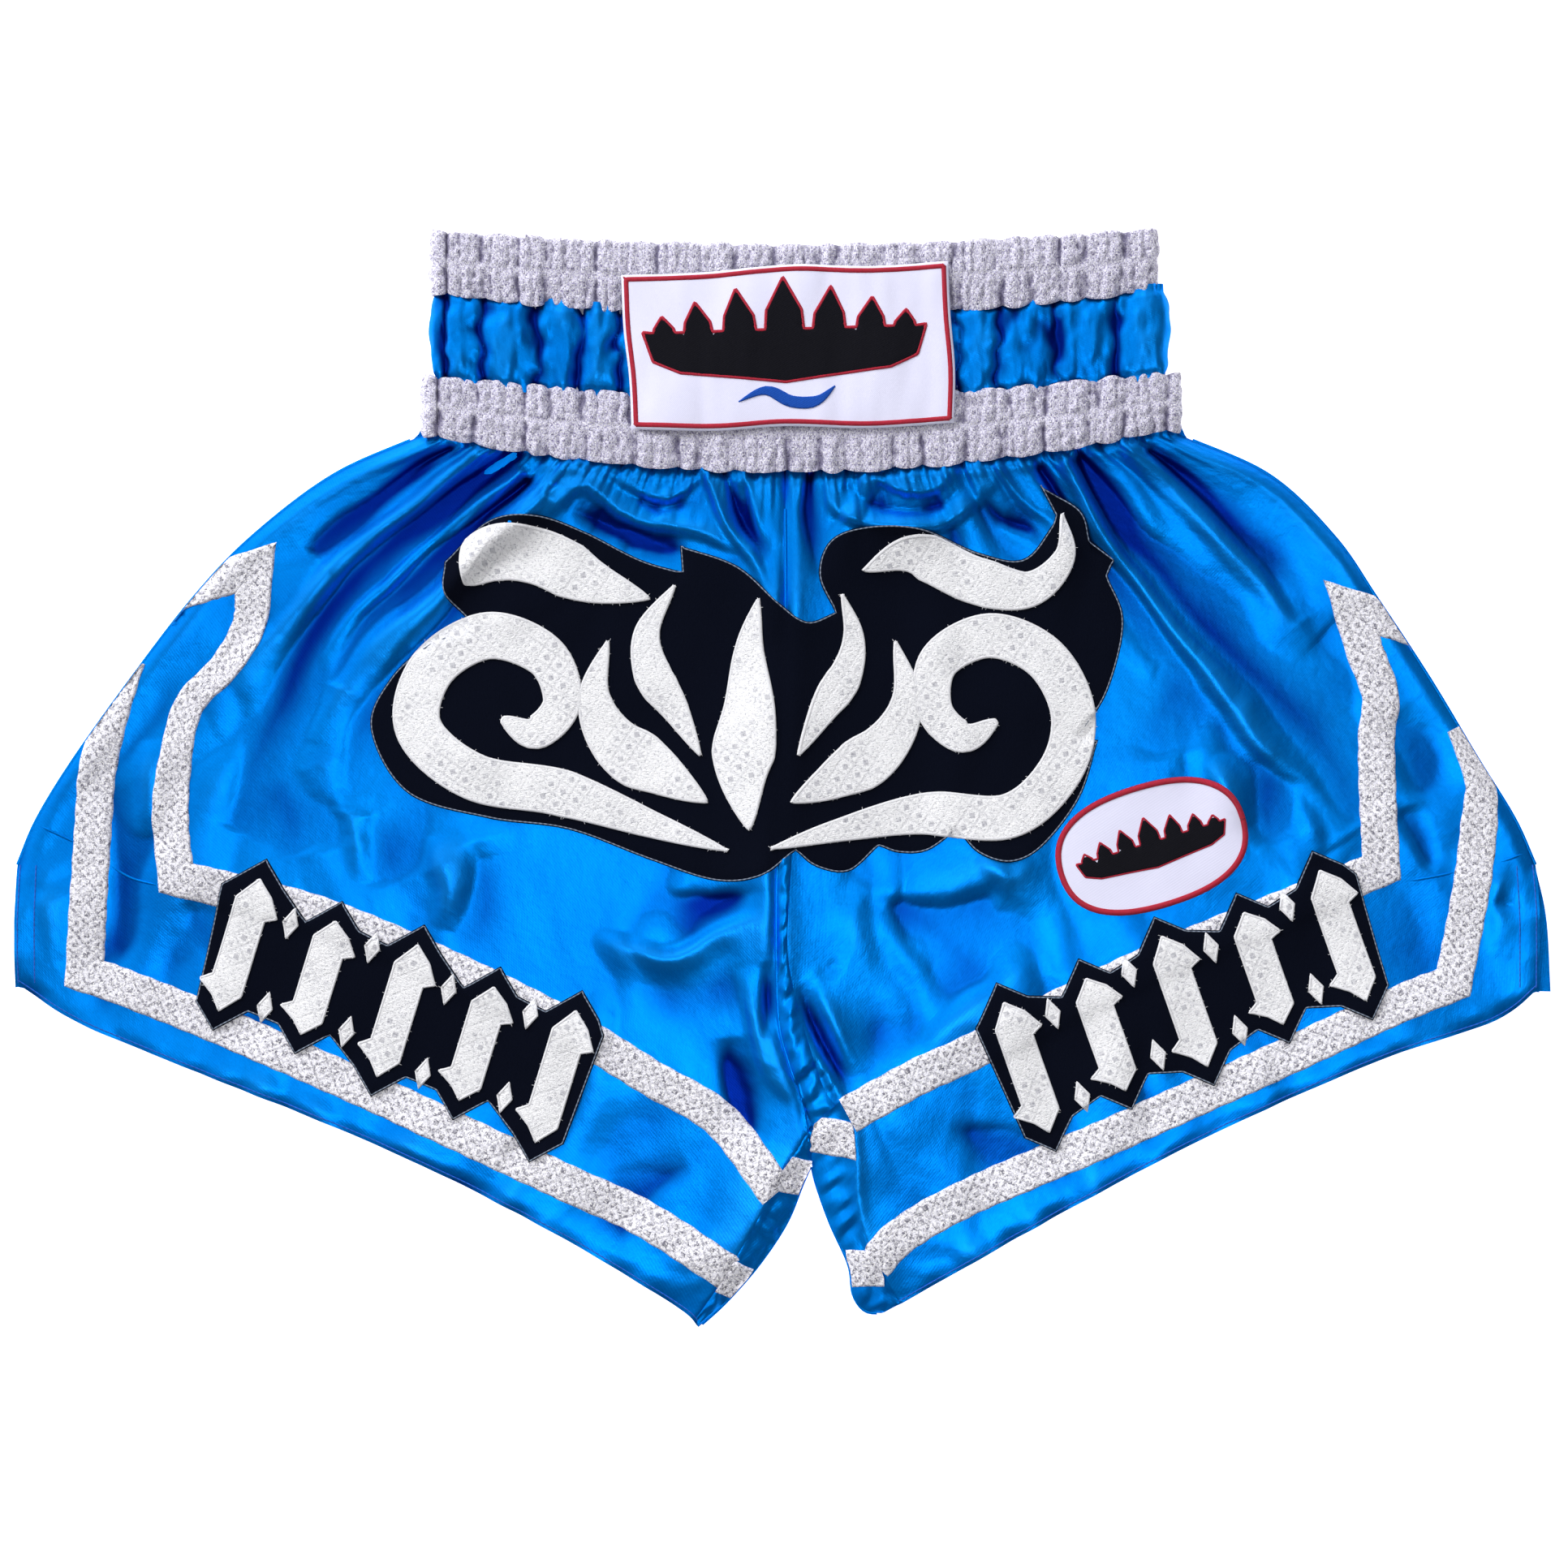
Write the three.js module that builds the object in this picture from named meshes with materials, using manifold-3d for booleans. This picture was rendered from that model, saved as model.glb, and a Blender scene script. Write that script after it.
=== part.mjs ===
// Boxing shorts (Muay Thai cut) laid flat, front up: satin body, gathered waistband of three sewn
// loops on elastics, brocade tapes along the hems and side vents, applique ornaments and two patches.
// Millimetres. +Z is up from the table, +Y runs from the legs to the waist, +X is the wearer's left.
// The origin is under the middle of the laid-out shorts, on the table.
import * as THREE from 'three';
import { mergeVertices } from 'three/addons/utils/BufferGeometryUtils.js';
import Module from 'manifold-3d';

const wasm = await Module();
wasm.setup();

// ---- Driving dimensions ----
const GAP = 0.3;              // clearance between pieces that are sewn face to face
const PANEL = 1.2;            // satin panel, with its slight rumple
const TAPE = 0.8;             // brocade tape
const TAPE_WIDTH = 16;
const FELT = 1.2;             // black applique backing
const FILL = 0.8;             // white applique on the backing
const TWILL = 1.0;            // woven patches
const SEAM_WALL = 3;          // width of the closed side seams, seen from above
const INSEAM_WALL = 2.4;
const HEM_DEPTH = 20;         // turned-up hem
const ALLOWANCE = 9;          // seam allowance of the centre seams

// Heights of the layers above the table.
const BACK_TAPE_Z = 0;
const BACK_PANEL_Z = BACK_TAPE_Z + TAPE + GAP;
const BACK_INSIDE_Z = BACK_PANEL_Z + PANEL + GAP;
const FRONT_PANEL_Z = 10.5;
const FRONT_INSIDE_Z = FRONT_PANEL_Z - GAP - TAPE;
const FRONT_TOP_Z = FRONT_PANEL_Z + PANEL;
const FRONT_TAPE_Z = FRONT_TOP_Z + GAP;
const LEG_FELT_Z = FRONT_TAPE_Z + TAPE + GAP;

// Waistband: a flattened loop, cloth outside, elastics in the channels, lining inside.
const WAIST_HEIGHT = 15;      // outside height of the flattened loop
const BAND_CLOTH = 1.2;
const ELASTIC = 1.2;
const LINING = 1.0;
const TOP_BAND = { left: -150, right: 159 };
const MIDDLE_BAND = { left: -152, right: 165 };
const BOTTOM_BAND = { left: -156, right: 171 };

// Edges across the waistband: height at the sides and how far the middle sags.
const WAIST_TOP = { side: 237, sag: 7 };
const TOP_JOIN = { side: 210, sag: 11 };
const LOW_JOIN = { side: 175, sag: 10 };
const WAIST_LOW = { side: 149, sag: 17 };
const SAG_HALF = 160;         // half width over which the edges sag

// ---- Colours ----
const material = (color, roughness, metalness = 0) =>
  new THREE.MeshStandardMaterial({ color, roughness, metalness });
const satin = material(0x0a6fe8, 0.35, 0.2);
const brocade = material(0xdcdce6, 0.5, 0.2);
const felt = material(0x0b0c12, 0.95);
const whiteThread = material(0xf2f2f4, 0.8);
const twill = material(0xf4f4fa, 0.85);
const redThread = material(0xc81437, 0.6);
const blackThread = material(0x0c0c12, 0.8);
const blueThread = material(0x1650b4, 0.6);
const lining = material(0xc9cbd6, 0.8);
const elastic = material(0xf0f0ee, 0.9);

// ---- Tools ----
const group = new THREE.Group();

function add(name, geometry, look) {
  const mesh = new THREE.Mesh(geometry, look);
  mesh.name = name;
  group.add(mesh);
}

// A smooth line through the points, as [x, y] pairs.
function smooth(points, steps = 4) {
  const curve = new THREE.SplineCurve(points.map(([x, y]) => new THREE.Vector2(x, y)));
  return curve.getPoints((points.length - 1) * steps).map((p) => [p.x, p.y]);
}

// The line moved sideways by distance, to the left of its direction.
function offset(line, distance) {
  const mitreLimit = 0.35;
  return line.map(([x, y], i) => {
    const before = line[Math.max(i - 1, 0)];
    const after = line[Math.min(i + 1, line.length - 1)];
    const intoPoint = i > 0 ? unit(before, [x, y]) : unit([x, y], after);
    const outOfPoint = i < line.length - 1 ? unit([x, y], after) : intoPoint;
    const middle = [intoPoint[0] + outOfPoint[0], intoPoint[1] + outOfPoint[1]];
    const length = Math.hypot(...middle);
    const cosine = Math.max(length / 2, mitreLimit);
    const reach = distance / cosine / length;
    return [x - middle[1] * reach, y + middle[0] * reach];
  });
}

function unit([ax, ay], [bx, by]) {
  const length = Math.hypot(bx - ax, by - ay);
  return [(bx - ax) / length, (by - ay) / length];
}

// The line carried on straight past both of its ends.
function lengthened(line, distance) {
  const beyond = ([ax, ay], [bx, by]) => {
    const [ux, uy] = unit([bx, by], [ax, ay]);
    return [ax + ux * distance, ay + uy * distance];
  };
  const last = line.length - 1;
  return [beyond(line[0], line[1]), ...line.slice(1, last), beyond(line[last], line[last - 1])];
}

// A flat piece of that outline, from height z up.
function plate(outline, z, thickness) {
  const shape = new THREE.Shape(outline.map(([x, y]) => new THREE.Vector2(x, y)));
  return new THREE.ExtrudeGeometry(shape, { depth: thickness, bevelEnabled: false })
    .translate(0, 0, z);
}

function solidOf(geometry) {
  const bare = new THREE.BufferGeometry()
    .setAttribute('position', geometry.getAttribute('position'))
    .setIndex(geometry.index);
  const merged = mergeVertices(bare, 1e-4);
  const triVerts = new Uint32Array(merged.index.array);
  return new wasm.Manifold(
    new wasm.Mesh({ numProp: 3, vertProperties: merged.attributes.position.array, triVerts }));
}

function geometryOf(solid) {
  const mesh = solid.getMesh();
  return new THREE.BufferGeometry()
    .setAttribute('position', new THREE.BufferAttribute(mesh.vertProperties, 3))
    .setIndex(new THREE.BufferAttribute(mesh.triVerts, 1));
}

const common = (a, b) => geometryOf(solidOf(a).intersect(solidOf(b)));
const without = (a, b) => geometryOf(solidOf(a).subtract(solidOf(b)));
const joined = (parts) =>
  geometryOf(parts.map(solidOf).reduce((whole, part) => whole.add(part)));

// ---- Waistband ----
const sagging = ({ side, sag }, x) => side - sag * (1 - Math.min(1, (x / SAG_HALF) ** 2));

// The part of the plan between two sagging edges, with clearance to the next loop.
function bandPlan(upper, lower, clearance = GAP / 2) {
  const reach = 190;
  const steps = 20;
  const columns = Array.from({ length: steps + 1 }, (_, i) => -reach + (2 * reach * i) / steps);
  return [
    ...columns.map((x) => [x, sagging(lower, x) + clearance]),
    ...columns.reverse().map((x) => [x, sagging(upper, x) - clearance]),
  ];
}

// A flattened loop of that wall, lying with its outside inset from the waistband's outside.
function loop({ left, right }, inset, wall, plan) {
  const outline = (extra) => {
    const radius = WAIST_HEIGHT / 2 - inset - extra;
    const straight = WAIST_HEIGHT / 2;
    const path = new THREE.Path();
    path.absarc(right - straight, WAIST_HEIGHT / 2, radius, -Math.PI / 2, Math.PI / 2);
    path.absarc(left + straight, WAIST_HEIGHT / 2, radius, Math.PI / 2, (3 * Math.PI) / 2);
    return path.getPoints(6);
  };
  const shape = new THREE.Shape(outline(0));
  shape.holes.push(new THREE.Path(outline(wall)));
  const tall = 400;
  const tube = new THREE.ExtrudeGeometry(shape, { depth: tall, bevelEnabled: false })
    .rotateX(Math.PI / 2)
    .translate(0, tall / 2 + 100, 0);
  return common(tube, plate(plan, -5, WAIST_HEIGHT + 10));
}

const bands = [
  ['top', TOP_BAND, WAIST_TOP, TOP_JOIN, brocade],
  ['middle', MIDDLE_BAND, TOP_JOIN, LOW_JOIN, satin],
  ['bottom', BOTTOM_BAND, LOW_JOIN, WAIST_LOW, brocade],
];
for (const [place, sides, upper, lower, look] of bands) {
  add(`waistband_${place}_band`, loop(sides, 0, BAND_CLOTH, bandPlan(upper, lower)), look);
  add(`elastic_${place}`,
    loop(TOP_BAND, BAND_CLOTH + GAP, ELASTIC, bandPlan(upper, lower, 1.5)), elastic);
}
const liningInset = BAND_CLOTH + GAP + ELASTIC + GAP;
add('waistband_lining',
  loop(TOP_BAND, liningInset, LINING, bandPlan(WAIST_TOP, WAIST_LOW, 1)), lining);

// ---- Body: outlines of the two halves ----
// side: waist to vent, along the outseam. vent: the free edge of the slit. hem: vent to inseam.
// inseam: hem to crotch.
const CROTCH = [12, -166];
const right = {
  sign: -1,
  side: [[-156, 149], [-195, 131.5], [-230, 105], [-255, 79], [-282, 44], [-307, 9], [-323, -17],
    [-331.5, -37]],
  vent: [[-331.5, -37], [-332, -88]],
  hem: [[-332, -88], [-306, -104.5], [-265, -122], [-178.5, -157], [-107, -192], [-48, -227],
    [-37, -237]],
  inseam: [[-37, -237], [-25, -226], [-11, -210], [1, -192], [8, -175], CROTCH],
};
const left = {
  sign: 1,
  side: [[171, 149], [210, 131.5], [238, 105], [256, 79], [279, 44], [300, 9], [316, -17],
    [325, -37]],
  vent: [[325, -37], [326, -90]],
  hem: [[326, -90], [307, -104.5], [256, -122], [178, -157], [112, -192], [50, -227], [42, -231]],
  inseam: [[42, -231], [35, -230], [30, -223], [28, -210], [20, -192], [14, -175], CROTCH],
};
const CENTRE_SEAM = [[0.5, 128], [0.5, 60], [-3, -40], [-2.5, -100], [2, -122], [8, -140], CROTCH];
const BACK_VENT_SHOWS = 6;    // the back panel stands out past the front at the wearer's left vent

// One front or back panel. inwards is towards the body from each edge.
function panelOutline(half, grow = 0) {
  const { sign } = half;
  const side = offset(smooth(half.side), sign * -(SEAM_WALL + GAP));
  const vent = half.vent.map(([x, y]) => [x + grow, y]);
  const hem = smooth(half.hem).slice(1, -1);
  const inseam = offset(smooth(half.inseam, 3), sign * -(INSEAM_WALL + GAP)).slice(1);
  inseam[inseam.length - 1] = [CROTCH[0] + sign * (GAP / 2), CROTCH[1] + INSEAM_WALL];
  const seam = smooth(CENTRE_SEAM, 3)
    .map(([x, y]) => [x + sign * (GAP / 2), y]).slice(1, -1).reverse();
  const topSteps = 8;
  const topEnd = side[0][0];
  const top = Array.from({ length: topSteps + 1 }, (_, i) => {
    const x = sign * (GAP / 2) + (topEnd - sign * (GAP / 2)) * (i / topSteps);
    return [x, sagging(WAIST_LOW, x) - GAP];
  });
  const outline = [...top, ...side.slice(1, -1), ...vent, ...hem, ...inseam, ...seam];
  return sign < 0 ? outline : outline.reverse();
}

// The wall between two offsets of an edge, closed along its length.
function edgeWall(line, near, far) {
  return [...offset(line, near), ...offset(line, far).reverse()];
}

const halves = [['right', right], ['left', left]];
for (const [name, half] of halves) {
  const backGrow = half.sign > 0 ? BACK_VENT_SHOWS : 0;
  add(`front_panel_${name}`, plate(panelOutline(half), FRONT_PANEL_Z, PANEL), satin);
  add(`back_panel_${name}`, plate(panelOutline(half, backGrow), BACK_PANEL_Z, PANEL), satin);

  // The closed seams between front and back: outseam down to the vent, inseam up to the crotch.
  const wall = FRONT_TOP_Z - BACK_PANEL_Z;
  const side = smooth(half.side);
  const seamPlan = edgeWall(side.slice(1, -1), 0, half.sign * -SEAM_WALL);
  add(`side_seam_${name}`, plate(seamPlan, BACK_PANEL_Z, wall), satin);
  const inner = smooth(half.inseam, 3).slice(2, -2);
  const inseamPlan = edgeWall(inner, 0, half.sign * -INSEAM_WALL);
  add(`inseam_${name}`, plate(inseamPlan, BACK_PANEL_Z, wall), satin);

  // Turned-up hems inside the leg.
  const hem = smooth(half.hem).slice(1, -4);
  const hemPlan = edgeWall(hem, half.sign * -1, half.sign * -HEM_DEPTH);
  add(`front_hem_${name}`, plate(hemPlan, FRONT_INSIDE_Z, TAPE), satin);
  add(`back_hem_${name}`, plate(hemPlan, BACK_INSIDE_Z, TAPE), satin);
}

// Overlocked seam allowances inside the two centre seams.
const seamLine = smooth(CENTRE_SEAM, 3).slice(1, -2);
const allowance = edgeWall(seamLine, ALLOWANCE / 2, -ALLOWANCE / 2);
add('centre_front_seam', plate(allowance, FRONT_INSIDE_Z, TAPE), satin);
add('centre_back_seam', plate(allowance, BACK_INSIDE_Z, TAPE), satin);

// ---- Brocade tapes: hem run, vent run, and the short run back over the outseam ----
const tapes = {
  outer_right: [right,
    [[-22, -216], [-58, -191.5], [-93, -175], [-173.5, -137.5], [-236, -110], [-280, -92],
      [-302.4, -84]],
    [[-302.4, -84], [-300.5, -50], [-298.5, -15], [-296.8, 4], [-291.8, 26], [-284, 48]]],
  inner_right: [right,
    [[2, -182], [-28, -147], [-58, -129], [-96, -106], [-151.5, -79], [-203, -58],
      [-262.8, -42.7]],
    [[-262.8, -42.7], [-265.3, -17.5], [-263.4, 6.6], [-257.4, 31.8], [-241.4, 49.3],
      [-231.2, 67.4], [-228.4, 91.2]],
    [[-228.4, 91.2], [-268, 79.2]]],
  outer_left: [left,
    [[30, -218], [51, -197], [77, -182], [128, -160], [212, -122.5], [262, -99],
      [289.4, -88]],
    [[289.4, -88], [294.5, -62], [299, -34], [301, -11.6], [301, -2], [297.4, 7.3], [290, 22]]],
  inner_left: [left,
    [[24, -148], [57, -129], [79, -119], [125, -96], [165, -77], [231, -50], [258.6, -38.5]],
    [[258.6, -38.5], [257, -10], [256.5, 18], [258, 36], [251, 56], [245.4, 73.9]],
    [[245.4, 73.9], [276, 64.5]]],
};
for (const [name, [half, ...runs]] of Object.entries(tapes)) {
  const strips = runs.map((run) => edgeWall(
    lengthened(smooth(run, 3), TAPE_WIDTH / 2), TAPE_WIDTH / 2, -TAPE_WIDTH / 2));
  const clip = (z) => common(
    joined(strips.map((strip) => plate(strip, z, TAPE))),
    plate(panelOutline(half), z - 1, TAPE + 2));
  add(`front_tape_${name}`, clip(FRONT_TAPE_Z), brocade);
  add(`back_tape_${name}`, clip(BACK_TAPE_Z), brocade);
}

// ---- Ornaments: brush strokes of changing width ----
// The outline of a stroke along a centreline, with its width at each point.
function brush(centre, widths) {
  const edge = (sign) => centre.map(([x, y], i) => {
    const [ux, uy] = unit(centre[Math.max(i - 1, 0)], centre[Math.min(i + 1, centre.length - 1)]);
    return [x - (sign * uy * widths[i]) / 2, y + (sign * ux * widths[i]) / 2];
  });
  return [...edge(1), ...edge(-1).reverse()];
}

const fullness = (u, point) => Math.min(1, (u / point) ** 0.7);

// A leaf that swells from a pointed tip and ends in a round head.
function leaf(points, width) {
  const centre = smooth(points, 5);
  const last = centre.length - 1;
  const widths = centre.map((_, i) => {
    const u = i / last;
    const head = Math.sqrt(Math.max(0.02, 1 - Math.max(0, (u - 0.82) / 0.18) ** 2));
    return Math.max(0.6, width * fullness(u, 0.75) * head);
  });
  return brush(centre, widths);
}

// A stroke that swells from its start and either tapers again or ends in a round head.
function stroke(points, width, start, end, blunt = false) {
  const centre = smooth(points, 4);
  const last = centre.length - 1;
  const widths = centre.map((_, i) => {
    const u = i / last;
    const tail = blunt
      ? Math.sqrt(Math.max(0.03, Math.min(1, (1 - u) / 0.06))) * (u > 0.8 ? 0.75 : 1)
      : Math.min(1, ((1 - u) / end) ** 0.75);
    return Math.max(0.7, width * Math.min(1, (u / start) ** 0.75) * tail);
  });
  return brush(centre, widths);
}

// Main ornament across both front panels.
const MAIN_Z = FRONT_TAPE_Z;
const crest = smooth([[-147, 94], [-128, 111.5], [-107, 114], [-86, 107], [-62, 95], [-42, 89]], 3)
  .concat([[-45, 101]])
  .concat(smooth([[-45, 101], [-20, 92], [-2, 76], [10, 68], [22, 72]], 2).slice(1))
  .concat(smooth([[22, 72], [15, 88], [20, 103], [36, 109], [60, 108], [84, 98], [103, 95],
    [114, 107], [118, 116]], 3).slice(1))
  .concat([[110, 127]])
  .concat(smooth([[110, 127], [128, 116], [133, 101]], 3).slice(1))
  .concat([[143, 95], [140, 88]])
  .concat(smooth([[140, 88], [147, 68], [140, 38], [126, 16]], 3).slice(1))
  .concat([[136, 17]])
  .concat(smooth([[136, 17], [128, -8], [112, -29], [98, -36], [84, -32], [75, -22]], 3).slice(1))
  .concat(smooth([[75, -22], [62, -31], [50, -32], [41, -29]], 2).slice(1))
  .concat(smooth([[41, -29], [28, -40], [14, -38], [5, -31]], 2).slice(1))
  .concat(smooth([[5, -31], [-10, -42], [-30, -44], [-58, -35], [-93, -22], [-128, -17],
    [-163, -6], [-179, 22], [-170, 44], [-153, 59], [-136, 66], [-147, 80], [-147, 94]], 3)
    .slice(1, -1));
add('main_applique_backing', plate(crest.slice().reverse(), MAIN_Z, FELT), felt);
const mainFills = [
  stroke([[-24, -31], [-56, -20], [-96, -6], [-134, 1], [-156, 22], [-150, 47], [-127, 60],
    [-104, 51], [-98, 33], [-110, 21], [-122, 27]], 18, 0.26, 0.1, true),
  stroke([[-6, -30], [24, -22], [60, -15], [97, -16], [118, 3], [123, 28], [111, 51], [89, 60],
    [69, 50], [67, 31], [79, 19], [91, 25]], 17, 0.26, 0.1, true),
  stroke([[-15, -18], [-18, 4], [-15, 30], [-15, 56], [-11, 78]], 22, 0.32, 0.62),
  stroke([[-35, -9], [-53, 2], [-72, 16], [-80, 36], [-75, 58]], 19, 0.35, 0.6),
  stroke([[5, -9], [23, 0], [42, 14], [50, 34], [46, 58]], 17, 0.35, 0.6),
  stroke([[-38, 18], [-47, 32], [-55, 46], [-57, 62], [-46, 82]], 11, 0.4, 0.5),
  stroke([[8, 18], [17, 32], [25, 46], [28, 62], [24, 78]], 10, 0.4, 0.5),
  stroke([[-60, 82], [-84, 88], [-106, 97], [-126, 96], [-137, 86]], 19, 0.4, 0.14),
  stroke([[34, 90], [56, 96], [82, 87], [106, 83], [120, 96], [119, 113]], 17, 0.25, 0.5),
];
mainFills.forEach((outline, i) => {
  add(`main_applique_flame_${i + 1}`, plate(outline, MAIN_Z + FELT + GAP, FILL), whiteThread);
});

// Leg ornaments: slanted blades on a jagged backing, set along the hem.
const BLADES = 5;
function bladeRow({ x, y, slope, step, length, lean }) {
  return Array.from({ length: BLADES }, (_, i) => {
    const along = (i - (BLADES - 1) / 2) * step;
    const tall = length * (i % 2 ? 0.86 : 1);
    const cx = x + along * Math.cos(slope);
    const cy = y + along * Math.sin(slope);
    return { cx, cy, tall, direction: Math.PI / 2 + lean };
  });
}

// A spear-shaped blade with a barb on one side.
function blade({ cx, cy, tall, direction }, wide, barb) {
  const half = tall / 2;
  const local = [[-half, 0], [-half * 0.72, -wide / 2], [half * 0.42, -wide / 2],
    [half * 0.5, -wide / 2 - barb], [half * 0.78, -wide / 2], [half, 0], [half * 0.66, wide / 2],
    [-half * 0.5, wide / 2], [-half * 0.62, wide / 2 + barb], [-half * 0.8, wide / 3]];
  const [c, s] = [Math.cos(direction), Math.sin(direction)];
  return local.map(([u, v]) => [cx + u * c - v * s, cy + u * s + v * c]);
}

const legRows = {
  right: { x: -167, y: -100, slope: -0.395, step: 37, length: 60, lean: -0.3 },
  left: { x: 173, y: -96, slope: 0.395, step: 37, length: 60, lean: 0.34 },
};
for (const [name, row] of Object.entries(legRows)) {
  const blades = bladeRow(row);
  const fat = blades.map((b) => plate(blade({ ...b, tall: b.tall + 18 }, 23, 7), LEG_FELT_Z, FELT));
  const first = blades[0];
  const last = blades[BLADES - 1];
  const bar = [[first, -22], [last, -22], [last, 20], [first, 20]].map(([b, d]) => [
    b.cx + d * Math.cos(b.direction), b.cy + d * Math.sin(b.direction)]);
  add(`leg_applique_${name}_backing`, joined([plate(bar, LEG_FELT_Z, FELT), ...fat]), felt);
  blades.forEach((b, i) => {
    add(`leg_applique_${name}_blade_${i + 1}`,
      plate(blade(b, 13, 4.5), LEG_FELT_Z + FELT + GAP, FILL), whiteThread);
  });
}

// ---- Waist label and oval patch ----
// A row of pointed petals on a base, symmetric about its middle petal.
function crown(scale, tall) {
  const petals = [[18, 17.5, 15], [35, 13.5, 13], [49, 9, 10]];
  const side = petals.flatMap(([x, high, wide]) => {
    const shoulder = 2 + (high - 2) * 0.42;
    return [[x - wide * 0.42, 3.5], [x - wide * 0.36, shoulder], [x + wide * 0.1, high],
      [x + wide * 0.42, shoulder], [x + wide * 0.46, 3.5]];
  });
  const right = [[7.1, 10], [7.8, 3.5], ...side, [58, 4], [54, -6], [43, -10], [20, -12], [0, -14]];
  const left = right.slice(0, -1).map(([x, y]) => [-x, y]).reverse();
  return [[0, 21], ...right, ...left].map(([x, y]) => [x * scale, y * scale * tall]);
}

// The clockwise outline grown by distance on every side.
function grown(outline, distance) {
  const closed = [outline[outline.length - 1], ...outline, outline[0]];
  return offset(closed, distance).slice(1, -1);
}

const turned = (outline, angle, [x, y]) => outline.map(([u, v]) => [
  x + u * Math.cos(angle) - v * Math.sin(angle), y + u * Math.sin(angle) + v * Math.cos(angle)]);

function patch(prefix, edge, z, { angle, centre, border, crownScale, crownTall, crownLift }) {
  const place = (outline) => turned(outline, angle, centre);
  const inner = grown(edge, -border);
  add(prefix, plate(place(grown(edge, -border - GAP)), z, TWILL), twill);
  const frame = without(
    plate(place(edge), z, TWILL + 0.6), plate(place(inner), z - 1, TWILL + 3));
  add(`${prefix}_border`, frame, redThread);
  const badge = crown(crownScale, crownTall).map(([x, y]) => [x, y + crownLift]);
  add(`${prefix}_crown_edge`,
    plate(place(grown(badge, crownScale)), z + TWILL + GAP, 0.5), redThread);
  add(`${prefix}_crown`, plate(place(badge), z + TWILL + GAP + 0.5 + GAP, 0.5), blackThread);
}

const LABEL_Z = WAIST_HEIGHT + GAP;
const labelEdge = [[-69.5, -34], [-69.5, 34], [69.5, 34], [69.5, -34]];
patch('waist_label', labelEdge, LABEL_Z,
  { angle: 0.032, centre: [0.5, 184], border: 2.2, crownScale: 1.03, crownTall: 1.12,
    crownLift: 4.5 });
const flourish = leaf([[-20, -23], [-8, -19], [4, -23], [14, -21], [19, -17]], 5);
add('waist_label_flourish',
  plate(turned(flourish, 0.032, [0.5, 184]), LABEL_Z + TWILL + GAP, 0.6), blueThread);

const ovalSteps = 40;
const ovalEdge = Array.from({ length: ovalSteps }, (_, i) => {
  const angle = (-2 * Math.PI * i) / ovalSteps;
  return [43.5 * Math.cos(angle), 25.5 * Math.sin(angle)];
});
patch('oval_patch', ovalEdge, FRONT_TAPE_Z,
  { angle: 0.3, centre: [159, -29], border: 2.4, crownScale: 0.58, crownTall: 1,
    crownLift: -0.5 });

export default group;
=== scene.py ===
"""Boxing shorts laid flat, front up: satin body, gathered waistband, brocade tapes, appliques."""
import math
import random
from functools import partial

import bpy
import numpy as np
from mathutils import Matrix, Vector, noise
from mathutils.bvhtree import BVHTree
from mathutils.geometry import delaunay_2d_cdt


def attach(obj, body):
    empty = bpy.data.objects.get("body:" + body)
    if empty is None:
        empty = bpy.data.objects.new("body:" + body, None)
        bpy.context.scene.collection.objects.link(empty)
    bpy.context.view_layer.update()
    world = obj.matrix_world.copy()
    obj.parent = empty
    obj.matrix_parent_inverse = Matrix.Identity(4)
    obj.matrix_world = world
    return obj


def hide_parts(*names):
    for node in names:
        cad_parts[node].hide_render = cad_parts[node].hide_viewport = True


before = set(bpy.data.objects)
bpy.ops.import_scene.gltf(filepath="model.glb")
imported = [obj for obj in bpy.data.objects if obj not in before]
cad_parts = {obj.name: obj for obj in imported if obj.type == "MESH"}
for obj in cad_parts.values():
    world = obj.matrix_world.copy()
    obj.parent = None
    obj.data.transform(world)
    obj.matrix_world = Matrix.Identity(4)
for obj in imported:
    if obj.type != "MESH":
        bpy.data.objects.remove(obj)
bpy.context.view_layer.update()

# ---- Sizes, in millimetres ----
MM = 0.001
BACK_Z = 1.3                  # back panels above the table
FRONT_Z = 10.5                # front panels, away from their edges
SEAM_Z = 4.6                  # height of the closed side seams
SEAM_DIP = 0.5                # back panels and seam rolls below that
HEM_Z = 7.0                   # front hem, hanging between panel height and table
LOWEST_FRONT = 3.2
WAIST_Z = 12.4                # front panels where they run under the waistband
LOOP_TOP = 13.6               # waistband surface on the front, before the pleats
LOOP_LOW = 1.6                # and on the back
TAPE_THICK = 0.7
FELT_THICK = 1.1
TAPE_WIDTH = 16.0
FILL_THICK = 0.7              # embroidery on the felt
LAYER = 0.25                  # clearance between layers
ABOVE_ALL, BELOW_ALL = 80.0, -40.0
SEED = 7

WAIST_EDGES = {               # height at the sides and sag in the middle
    "top": (237.0, 7.0), "upper": (210.0, 11.0), "lower": (175.0, 10.0), "low": (149.0, 17.0)}
SAG_HALF = 160.0

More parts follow.
